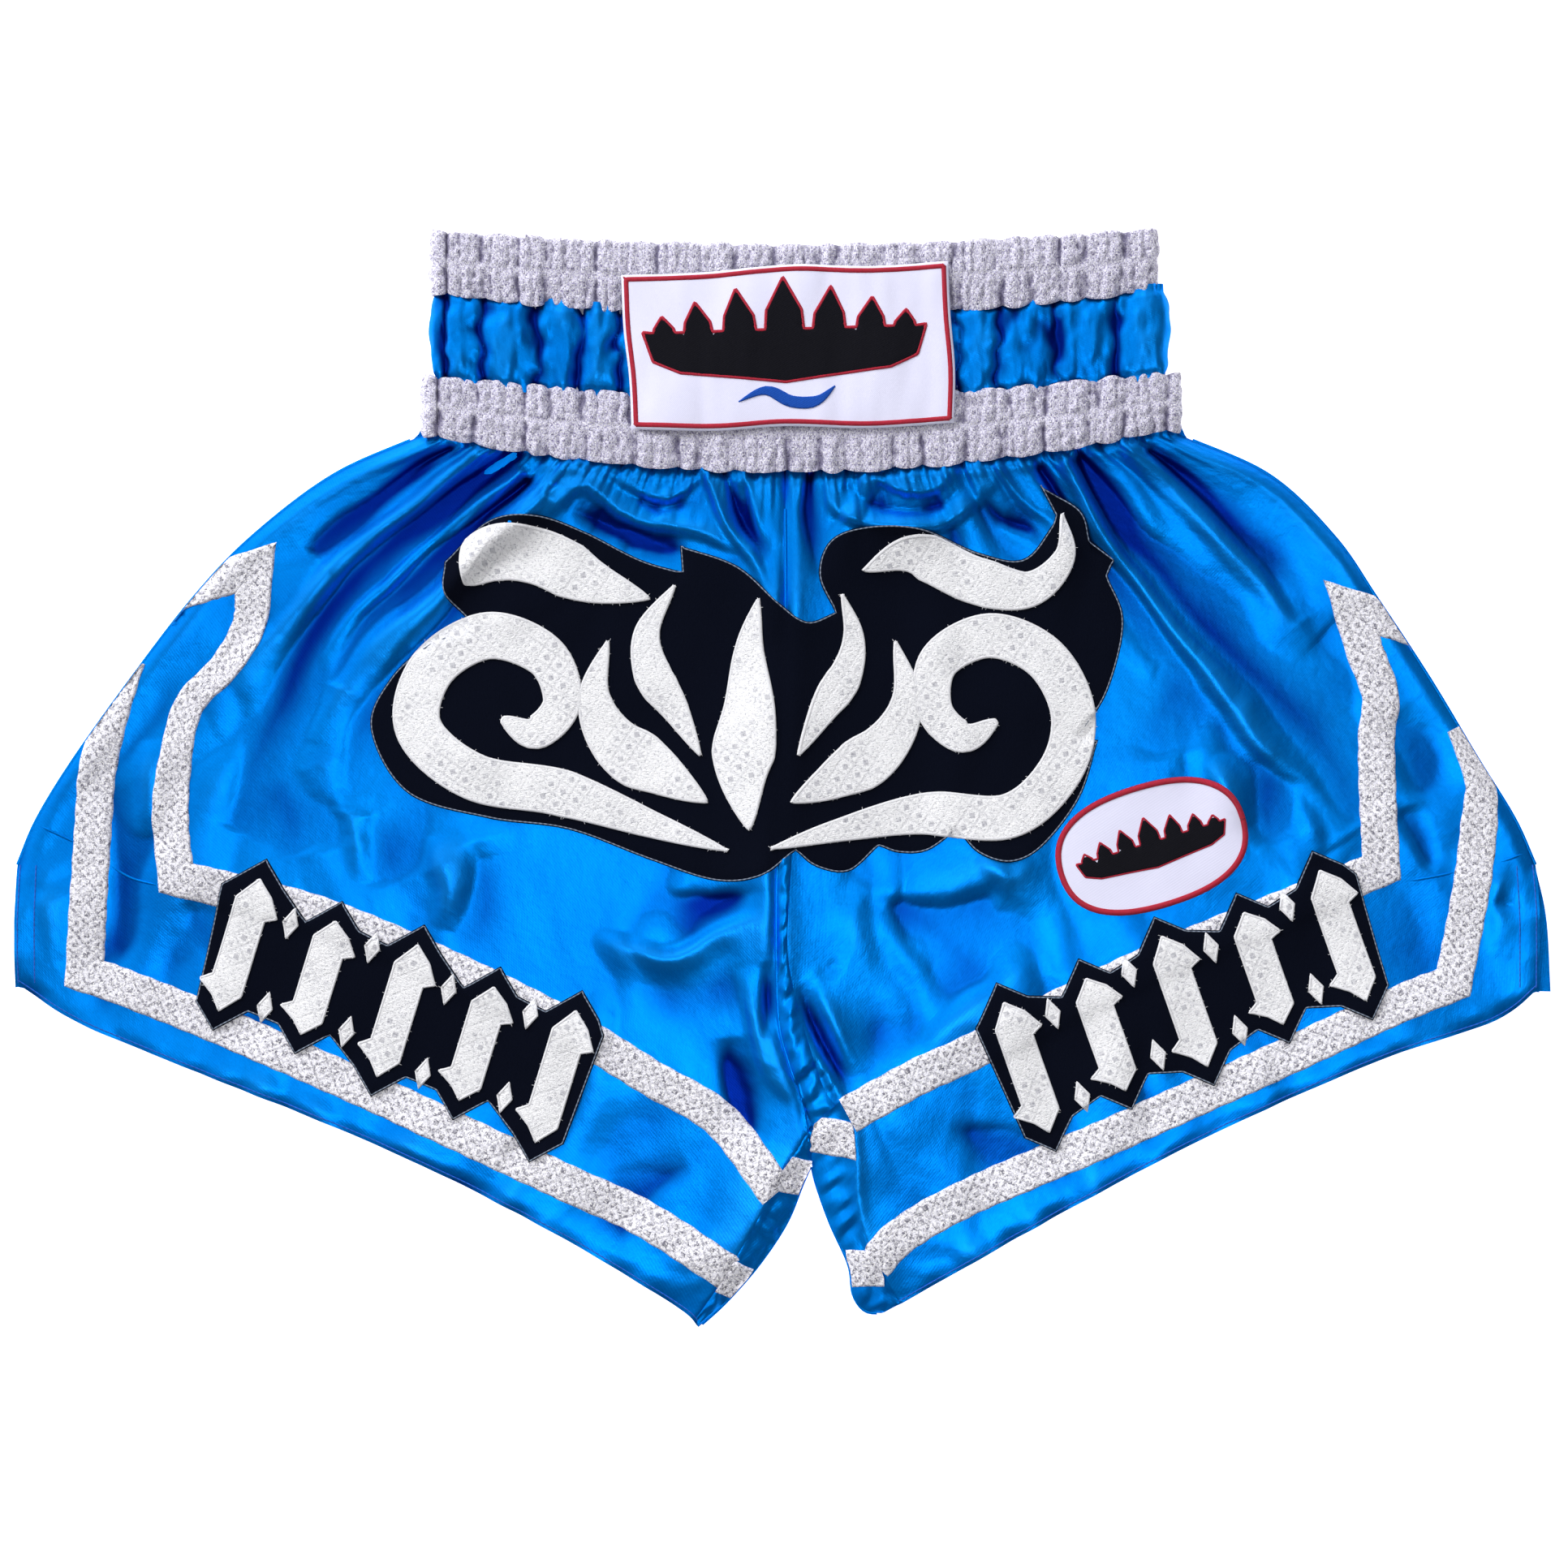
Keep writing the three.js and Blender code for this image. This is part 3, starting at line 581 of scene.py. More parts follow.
# Large folds of the front: the line, its half width, its height, and which end is held.
WAIST_HELD, FREE = "waist", "free"
FOLDS = [
    ([(-150, 147), (-186, 126), (-214, 104), (-236, 82)], 10, 2.4, WAIST_HELD),
    ([(-144, 142), (-168, 127), (-190, 110), (-205, 97)], 4.0, -5.0, WAIST_HELD),
    ([(-131, 142), (-159, 118), (-192, 94), (-212, 70), (-232, 48), (-253, 35)], 6.0, 3.4,
     WAIST_HELD),
    ([(-116, 141), (-138, 129), (-159, 110), (-181, 92), (-203, 63), (-218, 32), (-240, -22)], 5.0,
     -7.0, WAIST_HELD),
    ([(-114, 133), (-138, 116), (-164, 94), (-186, 70), (-205, 40), (-212, 17)], 4.4, 3.4,
     WAIST_HELD),
    ([(-112, 129), (-140, 107), (-160, 90), (-180, 68), (-194, 40)], 3.2, -4.8, WAIST_HELD),
    ([(-104, 122), (-124, 104), (-146, 85), (-176, 56), (-194, 30), (-212, -9)], 7.0, 3.4,
     WAIST_HELD),
    ([(-120, 98), (-142, 76), (-166, 48), (-182, 20), (-190, -14)], 5.5, -4.4, WAIST_HELD),
    ([(-219, 2), (-214, -20), (-212, -34)], 11, -4.4, FREE),
    ([(-196, -4), (-186, -24), (-180, -46)], 6, 2.4, FREE),
    ([(-178, -14), (-172, -30), (-166, -44)], 9, -3.6, FREE),
    ([(-152, -22), (-146, -46), (-150, -66)], 7, 2.4, FREE),
    ([(-134, -26), (-130, -52), (-134, -74)], 7, -3.0, FREE),
    ([(-88, 137), (-112, 121), (-138, 107)], 5, 2.6, WAIST_HELD),
    ([(-104, 115), (-92, 126), (-84, 128), (-74, 120), (-63, 112), (-37, 107), (-17, 99)], 3.6,
     3.2, FREE),
    ([(-92, 118), (-80, 113), (-64, 104), (-42, 98)], 4.5, -3.2, FREE),
    ([(-74, 133), (-62, 124), (-51, 121), (-42, 127), (-38, 133)], 2.6, 2.4, FREE),
    ([(-68, 128), (-55, 117), (-42, 120)], 3.0, -1.6, FREE),
    ([(-35, 134), (-30, 117), (-17, 101), (-7, 84), (-6, 60)], 3.2, 2.8, WAIST_HELD),
    ([(-27, 134), (-22, 117), (-11, 101), (-4, 80)], 2.6, -3.0, WAIST_HELD),
    ([(-18, 133), (-13, 116), (-5, 100)], 2.6, 1.8, WAIST_HELD),
    ([(12, 133), (11, 112), (16, 88)], 2.6, -2.6, WAIST_HELD),
    ([(19, 133), (24, 117), (44, 108), (66, 110), (84, 122), (92, 131)], 3.4, 3.0, FREE),
    ([(24, 128), (42, 117), (62, 117), (80, 128)], 3.0, -1.8, FREE),
    ([(36, 133), (50, 125), (64, 126), (72, 133)], 2.6, 2.2, FREE),
    ([(84, 126), (94, 114), (108, 108), (118, 98)], 3.6, -3.0, FREE),
    ([(92, 134), (102, 122), (116, 112), (128, 96)], 3.2, 2.4, WAIST_HELD),
    ([(170, 146), (202, 126), (228, 102), (248, 76)], 10, 2.2, WAIST_HELD),
    ([(158, 143), (182, 122), (204, 98), (224, 70)], 3.6, -3.6, WAIST_HELD),
    ([(150, 141), (180, 113), (204, 89), (232, 62)], 7, 3.0, WAIST_HELD),
    ([(128, 139), (145, 109), (164, 90), (193, 54), (227, 25), (250, -19)], 6.4, -6.8, WAIST_HELD),
    ([(120, 137), (137, 106), (156, 80), (181, 46), (213, 10), (238, -30)], 5.0, 3.6, WAIST_HELD),
    ([(110, 135), (128, 106), (146, 78), (160, 50)], 3.4, -3.4, WAIST_HELD),
    ([(172, 44), (163, 26), (166, 10)], 9, -3.4, FREE),
    ([(212, 4), (209, -12), (214, -28)], 8, -3.4, FREE),
    ([(186, 12), (192, -6), (200, -22)], 7, 2.2, FREE),
    ([(262, 30), (272, 12), (280, -10)], 8, -3.0, FREE),
    ([(268, -14), (276, -26), (282, -38)], 4, -3.2, FREE),
    ([(308, -52), (318, -56)], 4, -2.6, FREE),
    ([(-114, -28), (-98, -60), (-96, -96)], 10, -2.4, FREE),
    ([(-4, -48), (-38, -56), (-62, -48)], 6, -2.8, FREE),
    ([(-6, -60), (-30, -68), (-52, -78), (-84, -66)], 5, 2.8, FREE),
    ([(-19, -80), (-13, -105), (-5, -128), (5, -138)], 4, 3.2, FREE),
    ([(-24, -110), (-18, -139), (-8, -158)], 6, -3.4, FREE),
    ([(-8, -78), (-7, -112)], 4, -3.4, FREE),
    ([(6, -88), (16, -112), (24, -128), (29, -145)], 3.4, -3.2, FREE),
    ([(14, -86), (24, -108), (33, -128)], 5, 2.4, FREE),
    ([(14, -86), (20, -80), (26, -82)], 6, -1.0, FREE),
    ([(46, -52), (72, -70), (92, -92)], 10, -3.0, FREE),
    ([(82, -34), (96, -44), (92, -60)], 6, 2.0, FREE),
    ([(33, -45), (72, -49), (110, -34)], 8, 2.0, FREE),
    ([(106, -70), (76, -105), (50, -126)], 9, 2.0, FREE),
    ([(-258, -52), (-240, -80)], 6, -2.0, FREE),
    ([(-292, 0), (-284, -54), (-290, -84)], 6, -2.2, FREE),
    ([(-276, 20), (-274, -26)], 7, 1.8, FREE),
    ([(-318, -30), (-314, -80)], 5, 1.6, FREE),
    ([(312, -30), (308, -80)], 5, 1.6, FREE),
    ([(-230, -120), (-222, -96)], 5, -1.4, FREE),
    ([(-130, -172), (-118, -150)], 5, 1.4, FREE),
    ([(-74, -205), (-62, -180), (-40, -165)], 6, -2.2, FREE),
    ([(120, -180), (104, -160), (70, -150)], 6, -2.0, FREE),
    ([(210, -135), (200, -115)], 5, 1.4, FREE),
]


def fold_heights(xy, folds):
    """Ridges are rounded; valleys are creased, with one wall steeper than the other."""
    strayed = xy + np.column_stack([soft_noise(xy, 34, 3.2, 21.0), soft_noise(xy, 34, 3.2, 33.0)])
    total = np.zeros(len(xy))
    for points, width, height, held in folds:
        line = smooth(points, 6.0)
        gap, signed, along = distance_to_line(strayed, line)
        grown = width * (0.7 + (1.1 * along if held == WAIST_HELD else 0.4))
        lean = 1 + 0.45 * np.tanh(signed / width)
        if held == WAIST_HELD:
            taper = np.cos(along * math.pi / 2) ** 0.45
        else:
            taper = np.sin(np.clip(along, 0.02, 0.98) * math.pi) ** 0.8
        sharp = 1.25 if height < 0 else 1.8
        total += 1.55 * height * taper * np.exp(-(gap / (grown * lean)) ** sharp)
    return total


def soft_noise(xy, size, amplitude, seed):
    return np.array([amplitude * noise.noise(Vector((x / size, y / size, seed)))
                     for x, y in xy[:, :2]])


def gather_wave(u, count, seed, roundness=0.7):
    """Rounded gathers with sharp valleys, count of them over 0 to 1, unevenly spaced."""
    rng = random.Random(seed)
    steps = np.array([rng.uniform(0.6, 1.5) for _ in range(count)])
    marks = np.concatenate([[0], np.cumsum(steps)]) / steps.sum()
    tall = np.array([rng.uniform(0.55, 1.0) for _ in range(count)])
    u = np.clip(u, 0, 1 - 1e-9)
    cell = np.clip(np.searchsorted(marks, u, side="right") - 1, 0, count - 1)
    inner = (u - marks[cell]) / (marks[cell + 1] - marks[cell])
    return tall[cell] * np.sin(inner * math.pi) ** roundness


def panel_patch(side, columns, rows, back_grow=0.0):
    """Points of a panel laid out flat, tucked a little under the waistband."""
    tuck = 5.0
    end = SIDE[side][0][0]
    xs = np.linspace(0.5, end, 60)
    top = np.stack([xs, sagging("low", xs) + tuck], axis=1)
    inner_seam = np.vstack([smooth(CENTRE_SEAM, 3.0)[:-1], smooth(INSEAM[side], 2.0)])
    inner_seam[0] = top[0]
    vent = np.array(VENT[side], float) + [[0, 0], [0.7 * back_grow, 0], [back_grow, -2]]
    outer = np.vstack([smooth(SIDE[side], 3.0), smooth(vent, 3.0)])
    outer[0] = top[-1]
    hem = smooth(HEM[side], 3.0)[::-1].copy()
    hem[-1] = outer[-1]
    patch = four_sided(top, hem, inner_seam, outer, columns, rows)
    return patch[..., :2]


def under_crest(xy):
    """1 where the main ornament stiffens the cloth, 0 away from it."""
    return 1 - ease(0.8, 1.15, np.hypot((xy[:, 0] + 15) / 165, (xy[:, 1] - 35) / 78))


def front_surface(side):
    """The front panel as laid: its patch, its points, and the folds added after settling."""
    patch = panel_patch(side, 219, 259)
    rows, columns = patch.shape[:2]
    xy = patch.reshape(-1, 2)
    u = np.tile(np.linspace(0, 1, columns), rows)
    v = np.repeat(np.linspace(0, 1, rows), columns)
    side_gap, hem_gap, vent_gap, seam_gap, inseam_gap = (
        gap_to(xy, edge) for edge in (SIDE[side], HEM[side], VENT[side], CENTRE_SEAM, INSEAM[side]))
    facing_gap, facing_side, _ = distance_to_line(xy, smooth(FACING[side], 4.0))
    waist_gap = sagging("low", xy[:, 0]) - xy[:, 1]
    z = np.full(len(xy), FRONT_Z)
    z += (WAIST_Z - FRONT_Z) * fade(waist_gap, 28)
    fold = fold_heights(xy, FOLDS)
    fold += soft_noise(xy, 46, 2.4, 3.1) + soft_noise(xy, 21, 0.9, 8.4)
    stray = soft_noise(xy, 40, 0.7, 17.0)
    flow = np.column_stack([u * 9 + stray, v * 2.3 + 0.4 * stray])
    stream = soft_noise(flow, 1.0, 1.0, 5.0 + SIGN[side])
    fold += (5.4 * np.sqrt(stream ** 2 + 0.006) - 1.4) * (1 - 0.6 * under_crest(xy))
    gathers = gather_wave(u, 13, SEED + SIGN[side]) - 0.6
    tight = gather_wave(u, 37, SEED + 4 + SIGN[side]) - 0.6
    fold += 2.0 * gathers * fade(waist_gap, 22)
    fold += 2.2 * tight * fade(waist_gap, 8)
    calm = 1 - 0.75 * fade(np.minimum(hem_gap, vent_gap), 10)
    calm *= 1 - 0.85 * fade(seam_gap, 3.5) * ease(8, 30, waist_gap)
    calm *= 1 - 0.8 * fade(np.minimum(facing_gap, inseam_gap), 6)
    fold *= calm
    crinkle = soft_noise(xy, 13, 1.0, 6.6)
    fold += 2.6 * crinkle * fade(np.minimum(hem_gap, vent_gap + 4), 11)
    z += FOLD_BEFORE * fold
    z -= 3.0 * (1 - ease(-3, 5, waist_gap))
    z -= 1.3 * np.exp(-(seam_gap / 2.6) ** 2)
    z -= (FRONT_Z - HEM_Z) * fade(hem_gap, 24)
    z += 1.2 * np.exp(-(facing_gap / 3.5) ** 2)
    z -= 2.0 * ease(0.3, 2.0, -SIGN[side] * facing_side) * (facing_gap < 20)
    rise = 1 - fade(np.minimum(side_gap, inseam_gap), 9)
    z = SEAM_Z + (z - SEAM_Z) * rise
    z = np.where((vent_gap < side_gap), np.maximum(z, SEAM_Z - 0.6), z)
    z = np.maximum(z, 3.4)
    return patch, np.column_stack([xy, z]), (1 - FOLD_BEFORE) * fold * rise


def finer(grid):
    """The grid with a point added half way along each step."""
    for axis in (0, 1):
        grid = np.moveaxis(grid, axis, 0)
        out = np.empty((2 * len(grid) - 1, *grid.shape[1:]))
        out[::2] = grid
        out[1::2] = (grid[:-1] + grid[1:]) / 2
        grid = np.moveaxis(out, 0, axis)
    return grid


def buckled_front(side, patch, points):
    """The panel after its spare cloth has buckled, worked out on every other point."""
    rows, columns = patch.shape[:2]
    coarse = points.reshape(rows, columns, 3)[::2, ::2]
    start = coarse.reshape(-1, 3)
    xy = start[:, :2]
    edges = [SIDE[side], VENT[side], HEM[side], CENTRE_SEAM, INSEAM[side], FACING[side]]
    gap = np.min([gap_to(xy, edge, 5.0) for edge in edges], axis=0)
    waist_gap = np.maximum(sagging("low", xy[:, 0]) - xy[:, 1], 0)
    held = 1 - ease(1.0, 9.0, np.minimum(gap, waist_gap + 1.5))
    covered = under_crest(xy)
    growth = (0.055 + 0.11 * fade(waist_gap, 45)) * (1 - 0.8 * covered)
    held = np.maximum(held, 0.02 * covered)
    done = settled(f"settling_{side}", start, coarse.shape[:2], growth, held,
                   np.minimum(start[:, 2], 4.0))
    shift = finer((done - start).reshape(coarse.shape))
    shift = np.stack([blurred(shift[..., k], 1) for k in range(3)], axis=-1)
    return points + shift.reshape(-1, 3)


def back_surface(side):
    """The back panel, flat on the table, slightly longer at its vent than the front."""
    patch = panel_patch(side, 70, 84, 6.0 if side == "left" else 0.0)
    rows, columns = patch.shape[:2]
    xy = patch.reshape(-1, 2)
    closed_gap = np.minimum(gap_to(xy, SIDE[side]), gap_to(xy, INSEAM[side]))
    waist_gap = sagging("low", xy[:, 0]) - xy[:, 1]
    u = np.tile(np.linspace(0, 1, columns), rows)
    z = np.full(len(xy), BACK_Z + 0.6)
    z += np.abs(soft_noise(xy, 50, 1.0, 12.3)) + 0.4 * np.abs(soft_noise(xy, 18, 0.6, 2.2))
    gathers = gather_wave(u, 13, SEED + 20 + SIGN[side])
    z += 1.7 * gathers * fade(waist_gap, 26)
    z += (SEAM_Z - SEAM_DIP - z) * fade(closed_gap, 6)
    return patch, np.column_stack([xy, z])


def patch_uv(patch):
    """Cloth coordinates in millimetres, along the middle of the patch."""
    rows, columns = patch.shape[:2]
    wide = length_of(patch[rows * 2 // 3])
    tall = length_of(patch[:, columns // 2])
    u, v = np.meshgrid(np.linspace(0, wide, columns), np.linspace(0, tall, rows))
    return np.column_stack([u.ravel(), v.ravel()])


CLOTH = {
    "quality": 6, "mass": 0.2, "tension_stiffness": 40, "compression_stiffness": 40,
    "shear_stiffness": 12, "bending_stiffness": 0.6, "tension_damping": 8, "air_damping": 3,
    "vertex_group_mass": "held", "vertex_group_shrink": "spare", "shrink_min": 0.0}
CLOTH_SCALE = 10.0            # the cloth settles at ten times its size
CLOTH_FRAMES = 24
MOST_SHIFT = 7.0


def settled(name, points, shape, growth, held, low):
    """Cloth with more stuff in it than its outline holds, so that it buckles between its
    held edges. growth is the extra length at each point, held the hold on it, low the floor."""
    mesh = bpy.data.meshes.new(name)
    mesh.from_pydata((points * MM * CLOTH_SCALE).tolist(), [], grid_faces(*shape))
    obj = bpy.data.objects.new(name, mesh)
    bpy.context.scene.collection.objects.link(obj)
    pins = obj.vertex_groups.new(name="held")
    spare = obj.vertex_groups.new(name="spare")
    for i, (hold, more) in enumerate(zip(held, growth / growth.max())):
        if hold > 0.01:
            pins.add([i], float(hold), "REPLACE")
        spare.add([i], float(more), "REPLACE")
    cloth = obj.modifiers.new("cloth", "CLOTH")
    for setting, value in CLOTH.items():
        setattr(cloth.settings, setting, value)
    cloth.settings.shrink_max = -float(growth.max())
    cloth.settings.effector_weights.gravity = 0.25
    cloth.collision_settings.use_collision = False
    cloth.point_cache.frame_start, cloth.point_cache.frame_end = 1, CLOTH_FRAMES
    for frame_number in range(1, CLOTH_FRAMES + 1):
        bpy.context.scene.frame_set(frame_number)
    done = obj.evaluated_get(bpy.context.evaluated_depsgraph_get()).data
    moved = np.array([v.co for v in done.vertices]) / (MM * CLOTH_SCALE)
    bpy.data.objects.remove(obj)
    bpy.context.scene.frame_set(1)
    shift = moved - points
    size = np.linalg.norm(shift, axis=1, keepdims=True)
    shift *= MOST_SHIFT * np.tanh(size / MOST_SHIFT) / np.maximum(size, 1e-6)
    out = points + shift * (1 - np.clip(held, 0, 1))[:, None]
    out[:, 2] = np.maximum(out[:, 2], low)
    return out


fronts, backs = {}, {}
for side in SIGN:
    patch, points, folds = front_surface(side)
    points = buckled_front(side, patch, points)
    points[:, 2] = np.maximum(points[:, 2] + folds, LOWEST_FRONT)
    heights = points[:, 2].reshape(patch.shape[:2])
    # stands: height above the blurred surface, the mask for painted shade in the valleys and painted
    # highlights on the crests.
    stands = (heights - blurred(blurred(heights, 11), 12)).ravel() / 3.0 + folds / 10.0
    faces = grid_faces(*patch.shape[:2], flip=SIGN[side] > 0)
    name = f"front_panel_{side}_satin"
    fronts[side] = make_piece(name, points, faces, patch_uv(patch), SATIN,
                              [f"front_panel_{side}", f"front_hem_{side}"])
    mark_folds(fronts[side], stands)
    patch, points = back_surface(side)
    faces = grid_faces(*patch.shape[:2], flip=SIGN[side] < 0)
    name = f"back_panel_{side}_satin"
    backs[side] = make_piece(name, points, faces, patch_uv(patch), SATIN,
                             [f"back_panel_{side}", f"back_hem_{side}"])


# ---- Waistband ----
LOOP_RADIUS = (LOOP_TOP - LOOP_LOW) / 2


def around_length(left, right):
    return 2 * (right - left - 2 * LOOP_RADIUS) + 2 * math.pi * LOOP_RADIUS


def loop_frame(share, left, right):
    """Place across the waist, height and outward direction round the flattened loop."""
    radius = LOOP_RADIUS
    middle = (LOOP_TOP + LOOP_LOW) / 2
    straight = right - left - 2 * radius
    arc = math.pi * radius
    d = (share % 1.0) * around_length(left, right)
    if d < straight:
        return left + radius + d, LOOP_TOP, 0.0, 1.0
    d -= straight
    if d < arc:
        a = math.pi / 2 - d / radius
        return (right - radius + radius * math.cos(a), middle + radius * math.sin(a),
                math.cos(a), math.sin(a))
    d -= arc
    if d < straight:
        return right - radius - d, LOOP_LOW, 0.0, -1.0
    a = -math.pi / 2 - (d - straight) / radius
    return (left + radius + radius * math.cos(a), middle + radius * math.sin(a),
            math.cos(a), math.sin(a))


BAND_REST = 0.3               # how far the bands' middle height counts as standing out, in the mask for painted shade


def gathered_band(name, sides, edges, section, wave, finish, nodes, columns, fullness):
    """A gathered loop. section lists (share of the height, stand-off) from its low edge up;
    wave(share round, share of height) gives the pleats: stand-off and shift along Y."""
    left, right = sides
    shares = np.linspace(0, 1, columns, endpoint=False)
    base = np.array([loop_frame(s, left, right) for s in shares])
    low, high = sagging(edges[0], base[:, 0]), sagging(edges[1], base[:, 0])
    around = around_length(left, right) * fullness
    points, uvs, stands = [], [], []
    tall = float(np.mean(high - low))
    for v, out in section:
        stand, shift = wave(shares, v)
        # The stand-off is stored as Fold, the mask for painted shade in the pleat valleys.
        stands.append(stand / 2.2 + BAND_REST)
        stand = out + stand
        x = base[:, 0] + base[:, 2] * stand
        z = np.maximum(base[:, 1] + base[:, 3] * stand * np.where(base[:, 3] < -0.5, 0.55, 1), 0.15)
        y = low + v * (high - low) + shift
        points.append(np.column_stack([x, y, z]))
        uvs.append(np.column_stack([shares * around, np.full(columns, v * tall * 1.15)]))
    rows = len(section)
    made = make_piece(name, np.vstack(points), grid_faces(rows, columns, wrap=True, flip=True),
                      np.vstack(uvs), finish, nodes)
    mark_folds(made, stands)
    return made


def crumple(shares, v, size, amplitude, seed):
    """Soft unevenness round a loop, with no step where its ends meet."""
    return np.array([amplitude * noise.noise(Vector((
        size * math.cos(2 * math.pi * s), size * math.sin(2 * math.pi * s), v * 4 + seed)))
        for s in shares])


def brocade_wave(seed, lower_edge, upper_edge):
    """Two rows of flattened pleats either side of the stitching along the middle."""
    def wave(shares, v):
        drift = 0.0026 * crumple(shares, v, 26, 1.0, seed)
        first = gather_wave((shares + drift) % 1.0, 92, seed, 0.5)
        second = gather_wave((shares - drift) % 1.0, 99, seed + 1, 0.5)
        broad = gather_wave((shares + 0.5 * drift) % 1.0, 40, seed + 2, 0.7)
        upper = float(ease(0.42, 0.58, v))
        pleat = first * (1 - upper) + second * upper
        pinch = 1 - 0.8 * math.exp(-((v - 0.5) / 0.06) ** 2)
        stand = (2.2 * (pleat - 0.7) + 2.2 * (broad - 0.6)) * pinch
        stand = stand + crumple(shares, v * 2, 50, 1.0, seed + 5) * pinch
        scallop = 2.2 * (broad - 0.55) + 0.5 * (pleat - 0.6)
        shift = -scallop * lower_edge * math.exp(-v / 0.2)
        shift = shift + scallop * upper_edge * math.exp(-(1 - min(v, 1)) / 0.2)
        return stand, shift
    return wave


def puff_wave(seed):
    """Loose satin puffs between the two tight rows."""
    def wave(shares, v):
        drift = 0.006 * crumple(shares, v, 12, 1.0, seed)
        broad = gather_wave((shares + drift) % 1.0, 30, seed, 0.55)
        fine = gather_wave((shares - 0.7 * drift) % 1.0, 74, seed + 1)
        near_edge = math.exp(-min(v, 1 - v) / 0.16)
        stand = 5.4 * (broad - 0.7) + 1.5 * near_edge * (fine - 0.6)
        stand = stand + crumple(shares, v * 0.7, 16, 1.8, seed + 3)
        stand = stand + crumple(shares, v * 1.2, 40, 0.4, seed + 8)
        return stand, np.zeros(len(shares))
    return wave


def bulge(rows, low, full, stitched=False):
    """Stand-off from the loop over the height: full in the middle, held in at the edges."""
    out = []
    for v in np.linspace(0, 1, rows):
        rise = math.sin(math.pi * v) ** 0.45
        if stitched:
            rise *= 1 - 0.55 * math.exp(-((v - 0.5) / 0.05) ** 2)
        out.append((float(v), low + (full - low) * rise))
    return out


TOP_SIDES, MIDDLE_SIDES, LOW_SIDES, LINING_SIDES = (-151, 160), (-152, 165.5), (-155, 171), (-146, 155)
ROLLED_EDGE = [(1.012, 0.1), (1.016, -0.8), (1.0, -1.7), (0.9, -2.3), (0.6, -2.5)]
waist_top = gathered_band(
    "waistband_top_brocade", TOP_SIDES, ("upper", "top"), bulge(30, 0.5, 1.9, True) + ROLLED_EDGE,
    brocade_wave(SEED, 1.0, 0.8), BAND_BROCADE,
    ["waistband_top_band", "elastic_top"], 1150, 1.7)
waist_middle = gathered_band(
    "waistband_middle_satin", MIDDLE_SIDES, ("lower", "upper"),
    [(-0.1, -1.2), (-0.04, -0.7)] + bulge(30, -0.4, 1.6) + [(1.04, -0.7), (1.1, -1.2)],
    puff_wave(SEED + 11), SATIN, ["waistband_middle_band", "elastic_middle"], 800, 1.6)
waist_low = gathered_band(
    "waistband_bottom_brocade", LOW_SIDES, ("low", "lower"), bulge(34, 0.4, 1.7, True),
    brocade_wave(SEED + 31, 1.0, 1.0), BAND_BROCADE,
    ["waistband_bottom_band", "elastic_bottom"], 1150, 1.7)


def lining_wave(shares, v):
    return 0.7 * (gather_wave(shares, 70, SEED + 3) - 0.7), np.zeros(len(shares))


waist_lining = gathered_band(
    "waistband_lining_cloth", LINING_SIDES, ("low", "top"),
    [(v, -3.4) for v in np.linspace(0.03, 0.97, 12)], lining_wave, LINING,
    ["waistband_lining"], 420, 1.0)


# ---- Cut pieces and stitched lines ----
def inset(outline, distance):
    """The closed outline moved inwards."""
    way = np.sign(signed_area(outline))
    return outline + side_normals(outline, closed=True) * distance * way


def even_closed(outline, step):
    ring = closed_up(np.array(outline, float))
    count = max(12, int(length_of(ring) / step))
    return spaced(ring, count + 1)[:-1]


def corners_kept(outline, step):
    """The closed outline with points added along its straight sides."""
    out = []
    outline = np.array(outline, float)
    for a, b in zip(outline, np.roll(outline, -1, axis=0)):
        n = max(1, int(round(np.linalg.norm(b - a) / step)))
        out += [a + (b - a) * k / n for k in range(n)]
    return np.array(out)


def cut_piece(name, outline, lie, lift, thick, finish, nodes=(), spacing=3.0, turn=0.0,
              bevel=0.5):
    """A piece of cloth cut to the outline, lying on what is under it, with rounded edges."""
    outlines = outline if isinstance(outline, list) else [outline]
    points, faces, uvs = [], [], []
    for edge in outlines:
        rings = [edge]
        closed = closed_up(edge)
        for step in (bevel, bevel * 2.6):
            ring = inset(edge, step)
            gap, _, _ = distance_to_line(ring, closed)
            rings.append(ring[(gap > step * 0.9) & inside(ring, edge)])
        low, high = edge.min(axis=0), edge.max(axis=0)
        xs, ys = np.arange(low[0], high[0], spacing), np.arange(low[1], high[1], spacing * 0.87)
        grid = np.array([(x + spacing / 2 * (j % 2), y) for j, y in enumerate(ys) for x in xs])
        grid = grid[inside(grid, edge)] if len(grid) else grid
        if len(grid):
            gap, _, _ = distance_to_line(grid, closed)
            grid = grid[gap > bevel * 2.6 + spacing * 0.45]
        flat = np.vstack(rings + ([grid] if len(grid) else []))
        n = len(edge)
        links = [(k, (k + 1) % n) for k in range(n)]
        made = delaunay_2d_cdt([Vector(p) for p in flat], links, [], 1, 1e-5)
        xy = np.array([tuple(p) for p in made[0]])
        gap, _, _ = distance_to_line(xy, closed)
        round_off = np.sqrt(np.clip(gap / (bevel * 1.4), 0, 1))
        z = lie(xy) + lift * (0.25 + 0.75 * np.clip(gap / bevel, 0, 1)) + thick * round_off
        start = len(points)
        points += np.column_stack([xy, z]).tolist()
        faces += [[start + i for i in f] for f in made[2]]
        c, s = math.cos(turn), math.sin(turn)
        uvs += np.column_stack([xy @ [c, s], xy @ [-s, c]]).tolist()
    return make_piece(name, points, faces, uvs, finish, nodes)


